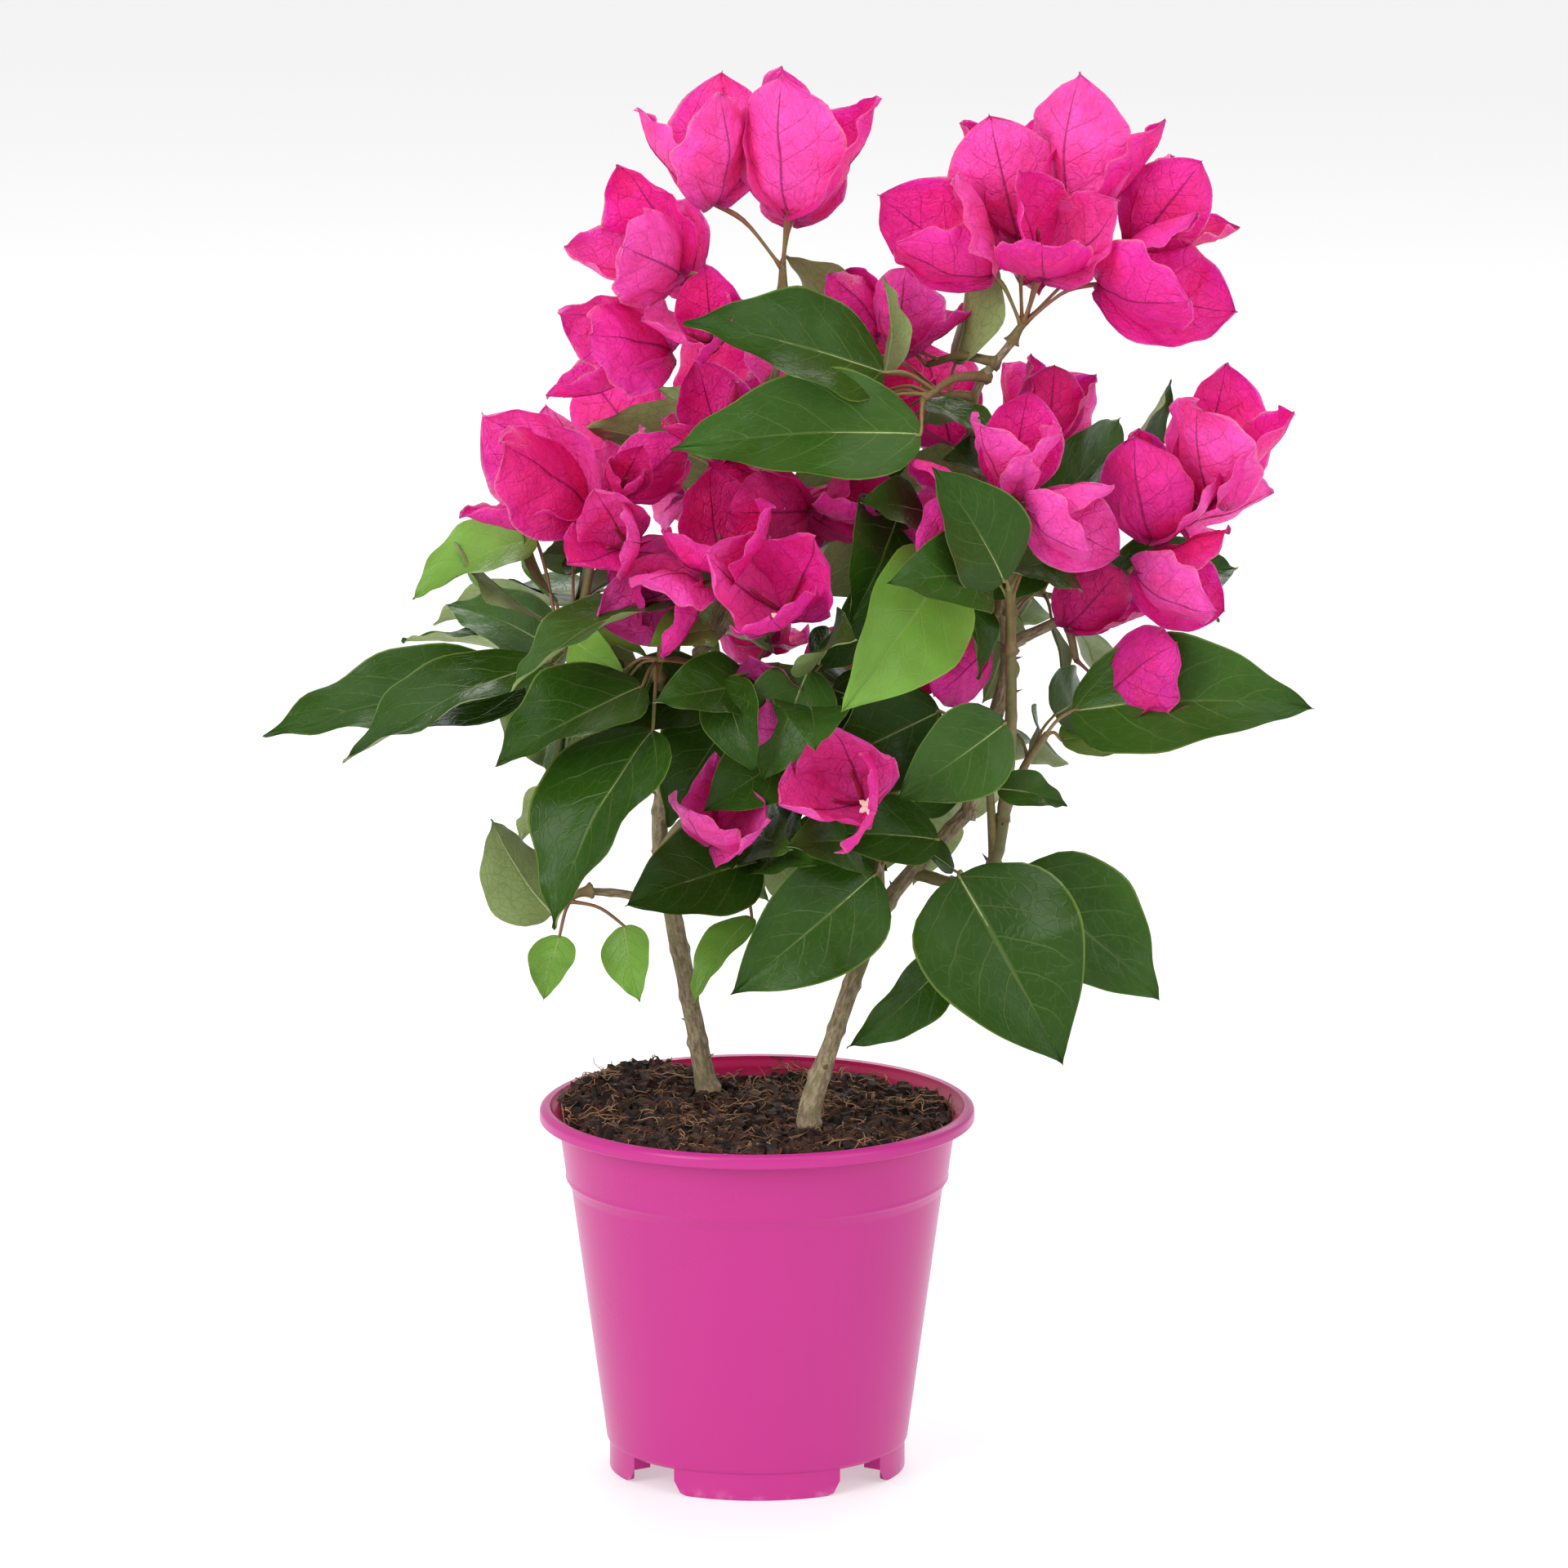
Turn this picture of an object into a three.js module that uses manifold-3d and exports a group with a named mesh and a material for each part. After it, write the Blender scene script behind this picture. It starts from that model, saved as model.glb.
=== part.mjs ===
// Potted bougainvillea: a flowering bush on two woody stems in a round plastic nursery pot.
// Millimetres, +Z up, the pot standing on z = 0. The group is moved at the end so that its
// origin lies under the middle of the whole plant.
// Limbs are tapering tubes. Masses are twigs with leaves, or with heads of three bracts, and
// each keeps to its own space: a blade that would meet another mass or a limb is turned or skipped.
import * as THREE from "three";
import { mergeVertices } from "three/addons/utils/BufferGeometryUtils.js";
import Module from "manifold-3d";

const wasm = await Module();
wasm.setup();

// ---------- Driving dimensions ----------

const GAP = 0.3; // between pieces that touch on the real plant
const DEG = Math.PI / 180;

const POT_HEIGHT = 145;
const POT_WALL = 2.2;
const POT_SIDES = 32;
const RIM_RADIUS = 85;
const RIM_DEPTH = 5.6;
const COLLAR_TOP_RADIUS = 77.6;
const COLLAR_FOOT_RADIUS = 74.5;
const COLLAR_FOOT = 116;
const BODY_TOP_RADIUS = 72.6;
const BODY_TOP = 112;
const BODY_FOOT_RADIUS = 58.9;
const FLOOR_UNDERSIDE = 10;
const FLOOR_THICKNESS = 3;
const FLOOR_EDGE = 1.5; // the small bevel round the floor
// The rim's section from its underside round to its inner side, as distances in from the rim's
// outer radius and down from its top.
const RIM_SECTION = [[0.8, 5.6], [0, 4.4], [0.3, 1.4], [2.2, 0], [4, 0.4], [4.9, 1.6], [8.5, 4]];
const BORE_TOP = 138.5; // where the wall's inner side starts to spread into the rim

const LUG_COUNT = 4;
const LUG_HALF_ANGLE = 33; // degrees either side of the lug's middle
const LUG_OUTER_RADIUS = 57.6;
const LUG_WALL = 3.6;
const LUG_CORNER = 4; // rise of the rounded lower corners
const LUG_STRAIGHT = 0.7; // share of each half of its edge that lies flat on the ground
const LUG_STEPS = 8;

const SOIL_TOP = 140;
const SOIL_SIDES = 24;

const LIMB_RING_EVERY = 20; // along a limb
const LIMB_STEPS = 24; // for measuring a limb's length
const LEAST_RINGS = 4;
const STEM_SIDES = 8;
const BOUGH_SIDES = 6;
const MASS_STEM_GIRTH = 3.4;
const MASS_STEM_TIP = 2.4;
const MASS_STEM_SIDES = 4;
const MASS_STEM_BOW = 0.1; // how far it arches up, as a share of its length
const TWIG_GIRTH = 1.5;
const TWIG_ROOT = 1; // where it starts, sunk in the mass's stem
const TWIG_BOW = 0.12; // how far it arches up, as a share of its length
const TWIG_MIDDLE = 0.55; // share of its length at which it arches
const CROWN_AXIS = [15, 0]; // x and y of the upright line that the crown spreads from

// Blade shapes. round and point are the exponents of the outline towards the root and the tip;
// bend and fold (degrees) are the least and the most that the seeded rule gives, and cup is
// how far, in radians, the halves curl up towards their edges. rows are the shares of its length
// at which its solid has corners, and solid is the share of its width that the solid takes: less
// than all of it keeps the bracts of one head from crossing.
const BLADES = {
  leaf: {
    round: 0.52, point: 1, bend: [16, 42], fold: [4, 14], cup: 0.45, ripple: 0.014, waves: 2,
    thickness: 0.02, rows: [0.2, 0.58], solid: 1,
  },
  bract: {
    round: 0.5, point: 0.6, bend: [-64, -16], fold: [0, 8], cup: 0.8, ripple: 0.022, waves: 2.5,
    thickness: 0.026, rows: [0.34, 0.7], solid: 0.75,
  },
};
const FLAT_ROOT = 0.5; // share of a blade over which it goes from flat to fully curled
const BRACTS_IN_HEAD = 3;
const BRACT_WIDTH = 0.94; // of its length
const BRACT_LENGTH = [0.9, 1.06]; // of the size that a head has in the table
const BRACT_ROLL = [7, 20]; // degrees, so that each bract has one edge inside its neighbour
const HEAD_OPEN = [20, 38]; // degrees between a bract and the head's axis
const HEAD_SPIN = 28; // degrees that its first bract may turn from facing outwards
const HEAD_NOD = 0.2; // how far its first bract turns down
const LEAF_WIDTH = 0.66; // of its length, for leaves that the seeded rule adds
const LEAF_FACING = [0.85, 0.5]; // how far a leaf's upper side turns outwards and upwards
const LEAST_BEND = 0.05; // radians, below which a blade's circle would be too large

const CLEARANCE = 2.6; // between the middle surfaces of blades of different twigs
const ROOT_FREE = 0.04; // share of a blade by its root that others may touch
const ROD_REACH = 25; // how much further than its own length a blade looks for limbs and twigs
const ROW_SHARES = [0.6, 1]; // of a mass's stem, between which its listed twigs leave it
const WILD_SHARES = [0.5, 1]; // and those of the seeded rule
const NUMBERS_OF_ORGAN = 20; // the most numbers from the seeded stream that one organ uses

// What the seeded rule may do. A leaf stays inside an ellipse seen from the front, lowered as it
// goes back because the crown leans away, and inside a depth. Leaves fan out from the mass's way
// out by the golden angle, flatter upwards than sideways, and droop.
const WILD = {
  middle: [18, 335], spread: [128, 112], lean: 0.27, depth: 113, tries: 7,
  fan: 78, golden: 137.5, stray: 25, flatter: 0.7, steepest: 60, droop: 12,
  reach: [16, 30], length: [46, 72],
};

// Limbs: their middle lines from foot to tip, and their girths (diameters) along them. A stem
// with a foot stands GAP over the soil, and a bough starts where it just leaves what carries it.
const LIMBS = {
  front_stem: {
    path: [
      [20, -34, 140.3], [21, -33, 152.5], [30, -27, 179], [39, -16, 202.5], [52, 3, 227],
      [84, 5, 263],
    ],
    girth: [8.4, 9.2, 6.9, 6.5, 6.2, 5.6], foot: true,
  },
  left_stem: {
    path: [
      [-19, 23, 140.3], [-24, 23, 169], [-32, 22, 211], [-38, 20, 250], [-30, 12, 300],
      [-12, 5, 348],
    ],
    girth: [9.2, 7.2, 7, 6.4, 5.8, 5], foot: true,
  },
  right_bough: {
    path: [[82, 5, 260], [97, 12, 320], [88, 12, 385], [84, 5, 424], [99, 0, 449]],
    girth: [5.4, 4.9, 4.2, 3.6, 3.2],
  },
  right_shoot: {
    path: [[62, 5, 236], [83, -5, 234], [93, -13, 248], [98, -24, 295], [98, -30, 348]],
    girth: [4.6, 5, 5.4, 4.8, 4],
  },
  centre_bough: {
    path: [[-13, 5, 345], [-2, 8, 390], [8, 3, 440], [10, 0, 468]],
    girth: [4.9, 4.2, 3.4, 2.8],
  },
  left_bough: {
    path: [[-36, 17, 264], [-54, 4, 305], [-68, -8, 342]],
    girth: [4.6, 4.2, 3.6],
  },
  left_front_bough: {
    path: [[-32, 13, 292], [-36, -10, 308], [-38, -26, 322]],
    girth: [4.2, 3.8, 3.4],
  },
  front_bough: {
    path: [[-22, 8, 324], [-14, -10, 336], [-9, -26, 346]],
    girth: [4.2, 3.8, 3.4],
  },
  middle_bough: {
    path: [[66, 4, 244], [54, -6, 274], [36, -20, 300]],
    girth: [4.4, 4, 3.4],
  },
  low_left_bough: {
    path: [[-33, 22, 217], [-50, 20, 224], [-66, 14, 227]],
    girth: [3.8, 3.4, 3],
  },
  far_right_bough: {
    path: [[98, 12, 326], [126, 4, 342], [150, -4, 362]],
    girth: [4.2, 3.8, 3.2],
  },
  back_bough: {
    path: [[-37, 19, 256], [-34, 44, 306], [-24, 58, 352]],
    girth: [4.6, 4.2, 3.6],
  },
  right_back_bough: {
    path: [[93, 10, 300], [98, 36, 326], [86, 54, 366]],
    girth: [4.4, 4, 3.6],
  },
};

// Masses: the limb and the share along it where the stem starts, and the heart where it ends.
// heads: x, y, z of a head's foot, turn and rise in degrees of its axis, and its bracts' length.
// leaves: x, y, z of a blade's root, turn and rise of its midrib, length, width and roll.
// wild: how many more leaves the seeded rule tries, round the direction out (turn, rise).
const MASSES = {
  bloom_top_left: {
    limb: "centre_bough", share: 1, heart: [10, 0, 479],
    heads: [[-16, 0, 502, 165, 78, 52], [12, -4, 499, 40, 80, 55], [14, 24, 492, 80, 62, 46]],
  },
  bloom_upper_left: {
    limb: "centre_bough", share: 0.8, heart: [-12, -6, 466],
    heads: [
      [-30, -10, 477, 205, 40, 50], [-33, -16, 448, 195, 4, 48], [-17, -22, 452, -110, 48, 34],
      [-26, 22, 468, 130, 38, 42],
    ],
  },
  bloom_top_right: {
    limb: "right_bough", share: 1, heart: [104, 0, 456],
    heads: [
      [91, -6, 476, 196, 38, 50], [101, 10, 487, 135, 78, 54], [111, -10, 477, -80, 70, 44],
      [121, 8, 494, 50, 74, 56], [132, -6, 472, -18, 12, 52], [146, 10, 484, 30, 56, 44],
      [110, 26, 470, 95, 48, 44],
    ],
  },
  bloom_left: {
    limb: "left_bough", share: 1, heart: [-60, -16, 377],
    heads: [
      [-64, -18, 386, 192, 26, 54], [-52, -14, 390, 30, 42, 32], [-50, -30, 374, -110, 20, 36],
      [-46, -26, 366, -70, -30, 32], [-62, 12, 384, 130, 30, 42],
    ],
  },
  bloom_centre: {
    limb: "front_bough", share: 1, heart: [-8, -36, 357],
    heads: [
      [-12, -44, 366, -105, 66, 42], [-22, -44, 362, 212, -8, 42], [10, -50, 352, -115, 24, 46],
    ],
  },
  bloom_middle: {
    limb: "centre_bough", share: 0.42, heart: [2, -14, 388],
    heads: [
      [20, -22, 386, 205, 16, 44], [26, -24, 386, -30, 30, 34], [-12, -22, 408, -125, 54, 38],
    ],
  },
  bloom_right_centre: {
    limb: "right_shoot", share: 1, heart: [98, -34, 386],
    heads: [[98, -38, 396, -70, 66, 42], [104, -44, 392, -28, -8, 40], [90, -42, 391, 196, 0, 40]],
  },
  bloom_upper_centre: {
    limb: "right_bough", share: 0.9, heart: [66, 16, 436],
    heads: [[55, 18, 440, 25, 62, 38], [48, 24, 446, 170, 55, 32]],
  },
  bloom_upper_right: {
    limb: "right_bough", share: 0.66, heart: [108, 22, 398],
    heads: [[113, 22, 404, 60, 74, 34]],
  },
  bloom_right: {
    limb: "far_right_bough", share: 1, heart: [158, -6, 370],
    heads: [
      [176, -6, 386, -40, 70, 52], [153, -12, 372, 230, 80, 47], [146, -18, 362, -14, -4, 42],
      [164, 14, 374, 60, 30, 44],
    ],
  },
  bloom_side_right: {
    limb: "far_right_bough", share: 0.38, heart: [124, 2, 322],
    heads: [[120, 4, 334, 20, 42, 36], [136, -10, 307, -16, 26, 46]],
  },
  bloom_low_centre: {
    limb: "middle_bough", share: 0.62, heart: [42, -38, 283],
    heads: [[41, -56, 278, -112, 24, 49], [16, -40, 303, -140, 22, 38]],
  },
  bloom_low_left: {
    limb: "left_stem", share: 0.56, heart: [-18, -30, 266],
    heads: [[-16, -44, 260, -85, 42, 42]],
  },
  bloom_inner_right: {
    limb: "right_bough", share: 0.36, heart: [93, -8, 342],
    heads: [[89, -14, 332, 198, -16, 36]],
  },
  bloom_back_left: {
    limb: "back_bough", share: 1, heart: [-24, 62, 376],
    heads: [[-40, 74, 386, 120, 30, 46], [-14, 78, 392, 85, 44, 46], [-28, 84, 370, 100, -4, 42]],
  },
  bloom_back_right: {
    limb: "right_back_bough", share: 1, heart: [88, 58, 386],
    heads: [[76, 72, 392, 110, 40, 46], [104, 68, 390, 55, 34, 44], [92, 80, 376, 85, 0, 42]],
  },
  bloom_back_middle: {
    limb: "centre_bough", share: 0.6, heart: [30, 40, 412],
    heads: [[24, 50, 422, 110, 42, 42], [42, 52, 416, 70, 26, 42]],
  },
  bloom_back_low: {
    limb: "back_bough", share: 0.4, heart: [8, 66, 306],
    heads: [[6, 76, 312, 105, 18, 40], [20, 72, 300, 70, 0, 36]],
  },
  leaves_top: {
    limb: "right_bough", share: 0.84, heart: [64, -24, 430],
    leaves: [[49, -30, 442, 193, 17, 84, 46, 0], [63, -46, 421, 190, -3, 94, 50, 0]],
  },
  leaves_crown: {
    limb: "right_bough", share: 0.76, heart: [70, 8, 424],
    leaves: [
      [77, 18, 436, -90, 76, 58, 54, 0], [42, 34, 436, 150, 48, 50, 40, 0],
      [50, -2, 436, 60, 76, 38, 24, 20], [64, -10, 427, -20, -30, 40, 30, 10],
    ],
  },
  leaves_right_top: {
    limb: "right_bough", share: 0.56, heart: [114, 16, 374], wild: 3, out: [50, 0],
    leaves: [[126, 22, 382, 30, 46, 58, 46, 0], [112, 32, 374, 70, 20, 60, 38, 0]],
  },
  leaves_centre: {
    limb: "right_bough", share: 0.46, heart: [74, -24, 378],
    leaves: [
      [55, -32, 388, -115, -30, 58, 50, 0], [74, -44, 371, -145, -46, 78, 50, 0],
      [78, -30, 362, -60, -60, 40, 24, 0],
    ],
  },
  leaves_fold: {
    limb: "right_shoot", share: 0.93, heart: [97, -46, 360],
    leaves: [[95, -60, 366, 200, 58, 54, 40, -30]],
  },
  leaves_left: {
    limb: "left_bough", share: 0.86, heart: [-77, -8, 334],
    leaves: [
      [-90, -10, 314, 188, -9, 101, 46, -38], [-80, -20, 326, 193, -27, 92, 42, -30],
      [-84, 2, 338, 176, 42, 44, 36, 0], [-78, 6, 344, 150, 68, 36, 32, 0],
      [-86, 4, 370, 193, -26, 52, 34, -35],
    ],
  },
  leaves_left_front: {
    limb: "left_front_bough", share: 1, heart: [-38, -38, 331],
    leaves: [
      [-44, -50, 323, 190, -25, 64, 50, 0], [-40, -56, 307, -147, -58, 84, 58, 0],
      [-31, -40, 355, 188, -20, 78, 42, 12], [-17, -48, 345, 202, -8, 28, 24, 0],
      [-15, -22, 316, 185, -19, 50, 42, 0],
    ],
  },
  leaves_middle: {
    limb: "middle_bough", share: 1, heart: [14, -32, 318], wild: 4, out: [-100, -10],
    leaves: [
      [-13, -52, 326, -60, -52, 40, 26, 0], [20, -52, 330, 199, -55, 46, 36, 0],
      [18, -42, 296, 190, -34, 46, 36, 0], [-7, -24, 307, 189, -59, 52, 44, 0],
    ],
  },
  leaves_low_middle: {
    limb: "left_stem", share: 0.47, heart: [-8, -10, 252], wild: 4, out: [-80, 0],
    leaves: [[1, -34, 250, 192, -16, 54, 44, 0], [-2, -18, 224, -150, -50, 40, 20, 0]],
  },
  leaves_low_centre: {
    limb: "front_stem", share: 0.76, heart: [48, -20, 246], wild: 2, out: [-60, 10],
    leaves: [[46, -42, 247, -160, -36, 72, 48, 0], [70, -36, 259, 189, -5, 55, 34, 0]],
  },
  leaves_low_left: {
    limb: "low_left_bough", share: 1, heart: [-74, 10, 224],
    leaves: [
      [-80, 4, 220, 200, 58, 46, 38, -20], [-77, 2, 212, -120, -62, 26, 20, -60],
      [-52, 10, 214, -60, -66, 30, 22, -60],
    ],
  },
  leaves_low_right: {
    limb: "right_shoot", share: 0.16, heart: [82, -20, 237],
    leaves: [
      [78, -36, 245, -28, -57, 82, 70, 50], [100, -24, 241, -13, -40, 72, 54, 45],
      [76, -28, 212, -166, -40, 54, 26, 0],
    ],
  },
  leaves_right: {
    limb: "right_shoot", share: 0.6, heart: [112, -20, 297], wild: 2, out: [20, -20],
    leaves: [[122, -18, 306, -6, -6, 92, 54, 45], [118, -6, 292, 30, -6, 40, 24, 0]],
  },
  leaves_inner_right: {
    limb: "right_shoot", share: 0.47, heart: [89, -32, 288],
    leaves: [
      [96, -40, 306, 192, -33, 50, 38, 0], [93, -40, 280, 10, -16, 28, 20, 0],
      [71, -32, 309, 187, -36, 65, 46, 0],
    ],
  },
  leaves_back_left: {
    limb: "back_bough", share: 0.72, heart: [-52, 60, 334], wild: 6, out: [120, 0],
    leaves: [[-64, 68, 330, 150, -12, 74, 46, 0]],
  },
  leaves_back_low_left: {
    limb: "back_bough", share: 0.2, heart: [-42, 48, 266], wild: 5, out: [110, -20],
    leaves: [[-50, 56, 262, 140, -30, 66, 42, 0]],
  },
  leaves_back_right: {
    limb: "right_back_bough", share: 0.7, heart: [114, 56, 336], wild: 6, out: [60, 0],
    leaves: [[124, 62, 334, 35, -14, 72, 46, 0]],
  },
  leaves_back_middle: {
    limb: "right_back_bough", share: 0.88, heart: [50, 66, 346], wild: 5, out: [100, 10],
    leaves: [[44, 76, 350, 110, -16, 76, 50, 0]],
  },
  leaves_back_low: {
    limb: "right_bough", share: 0.1, heart: [68, 44, 274], wild: 5, out: [80, -20],
    leaves: [[66, 54, 270, 80, -34, 74, 48, 0]],
  },
  leaves_side_left: {
    limb: "left_bough", share: 0.5, heart: [-72, 26, 312], wild: 5, out: [160, 10],
    leaves: [[-80, 30, 314, 165, 6, 60, 38, 0]],
  },
  leaves_side_right: {
    limb: "far_right_bough", share: 0.66, heart: [132, 24, 348], wild: 4, out: [30, 0],
    leaves: [[140, 30, 344, 40, 0, 62, 38, 0]],
  },
  leaves_back_top: {
    limb: "centre_bough", share: 0.24, heart: [6, 44, 372], wild: 5, out: [90, 10],
    leaves: [[4, 56, 378, 95, 10, 74, 44, 0]],
  },
};

const COLOURS = {
  pot: ["#d0428f", 0.38],
  soil: ["#33211a", 0.95],
  stem: ["#9c8468", 0.85],
  shoot: ["#6f6440", 0.6],
  bloom: ["#e6318f", 0.6],
  leaves: ["#436b2f", 0.5],
};

// ---------- Small tools ----------

const vec = (place) => new THREE.Vector3(...place);

const heading = (turn, rise) =>
  vec([
    Math.cos(rise * DEG) * Math.cos(turn * DEG),
    Math.cos(rise * DEG) * Math.sin(turn * DEG),
    Math.sin(rise * DEG),
  ]);

const square = (direction, axis) =>
  direction.clone().addScaledVector(axis, -direction.dot(axis)).normalize();

// A seeded stream of numbers between low and high.
function seeded(seed) {
  let state = seed * 7919 + 104729;
  const next = (low, high) => {
    state = (state * 16807) % 2147483647;
    return low + ((high - low) * state) / 2147483647;
  };
  next(0, 1);
  return next;
}

// A smooth line through the points of a path, which may be places or plain numbers.
function along(path, share) {
  const last = path.length - 1;
  const at = Math.min(Math.max(share, 0), 1) * last;
  const i = Math.min(Math.floor(at), last - 1);
  const t = at - i;
  const blend = (pick) => {
    const b = pick(path[i]);
    const c = pick(path[i + 1]);
    const a = i > 0 ? pick(path[i - 1]) : 2 * b - c;
    const d = i + 2 <= last ? pick(path[i + 2]) : 2 * c - b;
    return b + (t * (c - a + t * (2 * a - 5 * b + 4 * c - d + t * (3 * (b - c) + d - a)))) / 2;
  };
  if (typeof path[0] === "number") return blend((n) => n);
  return vec([0, 1, 2].map((k) => blend((p) => p[k])));
}

// ---------- Solids ----------

function manifold(points, faces) {
  let volume = 0;
  for (const [a, b, c] of faces) volume += points[a].dot(points[b].clone().cross(points[c]));
  const turned = volume < 0 ? faces.map(([a, b, c]) => [a, c, b]) : faces;
  return new wasm.Manifold(
    new wasm.Mesh({
      numProp: 3,
      vertProperties: new Float32Array(points.flatMap((p) => p.toArray())),
      triVerts: new Uint32Array(turned.flat()),
    }),
  );
}

function solidOf(geometry) {
  const bare = geometry.clone();
  bare.deleteAttribute("normal");
  bare.deleteAttribute("uv");
  const merged = mergeVertices(bare, 1e-3);
  const place = merged.attributes.position;
  const pointAt = (_, i) => new THREE.Vector3().fromBufferAttribute(place, i);
  const points = Array.from({ length: place.count }, pointAt);
  const faces = [];
  for (let i = 0; i < merged.index.count; i += 3) {
    const [a, b, c] = [0, 1, 2].map((k) => merged.index.getX(i + k));
    if (a !== b && b !== c && c !== a) faces.push([a, b, c]);
  }
  return manifold(points, faces);
}

// A closed skin over rings of points. A ring of one point closes to a tip. Odd sides are split
// along the other diagonal, so that both faces of a lens bend along the same line.
function loft(rings) {
  const faces = [];
  let first = 0;
  rings.forEach((ring, i) => {
    const next = rings[i + 1];
    const start = first;
    first += ring.length;
    if ((i === 0 || !next) && ring.length > 2)
      for (let k = 2; k < ring.length; k++)
        faces.push(next ? [start, start + k, start + k - 1] : [start, start + k - 1, start + k]);
    if (!next) return;
    const sides = Math.max(ring.length, next.length);
    for (let k = 0; k < sides; k++) {
      const m = (k + 1) % sides;
      const near = (n) => start + (ring.length > 1 ? n : 0);
      const far = (n) => first + (next.length > 1 ? n : 0);
      const odd = k % 2 === 1 && next.length > 1 && ring.length > 1;
      if (ring.length > 1) faces.push([near(k), near(m), odd ? far(m) : far(k)]);
      if (next.length > 1) faces.push([odd ? near(k) : near(m), far(m), far(k)]);
    }
  });
  return manifold(rings.flat(), faces);
}

// A tapering tube through centres, with a radius at each. A foot's first ring lies level.
function tube(centres, radii, sides, foot = false) {
  const last = centres.length - 1;
  const chord = centres[last].clone().sub(centres[0]).normalize();
  const reference = Math.abs(chord.x) < 0.8 ? vec([1, 0, 0]) : vec([0, 1, 0]);
  const rings = centres.map((centre, i) => {
    const ahead = centres[Math.min(i + 1, last)];
    const behind = centres[Math.max(i - 1, 0)];
    const axis = foot && i === 0 ? vec([0, 0, 1]) : ahead.clone().sub(behind).normalize();
    const side = square(reference, axis);
    const other = axis.clone().cross(side);
    return Array.from({ length: sides }, (_, k) => {
      const turn = (2 * Math.PI * k) / sides;
      return centre
        .clone()
        .addScaledVector(side, radii[i] * Math.cos(turn))
        .addScaledVector(other, radii[i] * Math.sin(turn));
    });
  });
  return loft(rings);
}

// The largest body of a solid, without the scraps that a cut leaves.
const largest = (solid) => solid.decompose().sort((a, b) => b.volume() - a.volume())[0];

// ---------- Pot and soil ----------

// Points (radius, height) of the pot's outer wall from the floor up to the rim.
const OUTER_WALL = [
  [BODY_FOOT_RADIUS - FLOOR_EDGE, FLOOR_UNDERSIDE],
  [BODY_FOOT_RADIUS, FLOOR_UNDERSIDE + FLOOR_EDGE],
  [BODY_TOP_RADIUS, BODY_TOP],
  [COLLAR_FOOT_RADIUS, COLLAR_FOOT],
  [COLLAR_TOP_RADIUS, POT_HEIGHT - RIM_DEPTH],
];
const innerRadius = (wallPoint) => wallPoint[0] - POT_WALL;

function potSolid() {
  const [, foot, bodyTop, collarFoot, collarTop] = OUTER_WALL;
  const floorTop = FLOOR_UNDERSIDE + FLOOR_THICKNESS;
  const profile = [
    [0, FLOOR_UNDERSIDE],
    ...OUTER_WALL,
    ...RIM_SECTION.map(([inwards, down]) => [RIM_RADIUS - inwards, POT_HEIGHT - down]),
    [innerRadius(collarTop), BORE_TOP],
    [innerRadius(collarFoot), COLLAR_FOOT],
    [innerRadius(bodyTop), BODY_TOP],
    [innerRadius(foot), floorTop],
    [0, floorTop],
  ].map(([r, z]) => new THREE.Vector2(r, z));
  let pot = solidOf(new THREE.LatheGeometry(profile, POT_SIDES).rotateX(Math.PI / 2));
  for (let i = 0; i < LUG_COUNT; i++) pot = pot.add(lugSolid((360 * i) / LUG_COUNT - 90));
  return pot;
}

// One foot of the pot: a curved wall with rounded lower corners, its top sunk in the floor.
function lugSolid(middle) {
  const top = FLOOR_UNDERSIDE + FLOOR_THICKNESS / 2;
  const inner = LUG_OUTER_RADIUS - LUG_WALL;
  const rings = [];
  for (let i = 0; i <= LUG_STEPS; i++) {
    const share = (2 * i) / LUG_STEPS - 1;
    const turn = (middle + share * LUG_HALF_ANGLE) * DEG;
    const past = Math.max(0, Math.abs(share) - LUG_STRAIGHT) / (1 - LUG_STRAIGHT);
    const low = LUG_CORNER * past ** 2;
    const section = [[inner, low], [LUG_OUTER_RADIUS, low], [LUG_OUTER_RADIUS, top], [inner, top]];
    rings.push(section.map(([r, z]) => vec([r * Math.cos(turn), r * Math.sin(turn), z])));
  }
  return loft(rings);
}

// The soil fills the pot up to its level top, with a gap at the wall.
function soilSolid() {
  const [, foot, bodyTop, collarFoot, collarTop] = OUTER_WALL;
  const [edgeIn, edgeDown] = RIM_SECTION.at(-1);
  const share = (SOIL_TOP - BORE_TOP) / (POT_HEIGHT - edgeDown - BORE_TOP);
  const topRadius = THREE.MathUtils.lerp(innerRadius(collarTop), RIM_RADIUS - edgeIn, share);
  const gap = 2 * GAP;
  const floorTop = FLOOR_UNDERSIDE + FLOOR_THICKNESS;
  const profile = [
    [0, floorTop + GAP],
    [innerRadius(foot) - gap, floorTop + GAP],
    [innerRadius(bodyTop) - gap, BODY_TOP],
    [innerRadius(collarFoot) - gap, COLLAR_FOOT + GAP],
    [innerRadius(collarTop) - gap, BORE_TOP],
    [topRadius - gap, SOIL_TOP],
    [0, SOIL_TOP],
  ].map(([r, z]) => new THREE.Vector2(r, z));
  return solidOf(new THREE.LatheGeometry(profile, SOIL_SIDES).rotateX(Math.PI / 2));
}

// ---------- Limbs ----------

function limbLine(limb) {
  const coarse = Array.from({ length: LIMB_STEPS + 1 }, (_, i) => along(limb.path, i / LIMB_STEPS));
  let length = 0;
  for (let i = 1; i <= LIMB_STEPS; i++) length += coarse[i].distanceTo(coarse[i - 1]);
  const rings = Math.max(LEAST_RINGS, Math.round(length / LIMB_RING_EVERY));
  const shares = Array.from({ length: rings + 1 }, (_, i) => i / rings);
  return {
    centres: shares.map((s) => along(limb.path, s)),
    radii: shares.map((s) => along(limb.girth, s) / 2),
  };
}

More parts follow.
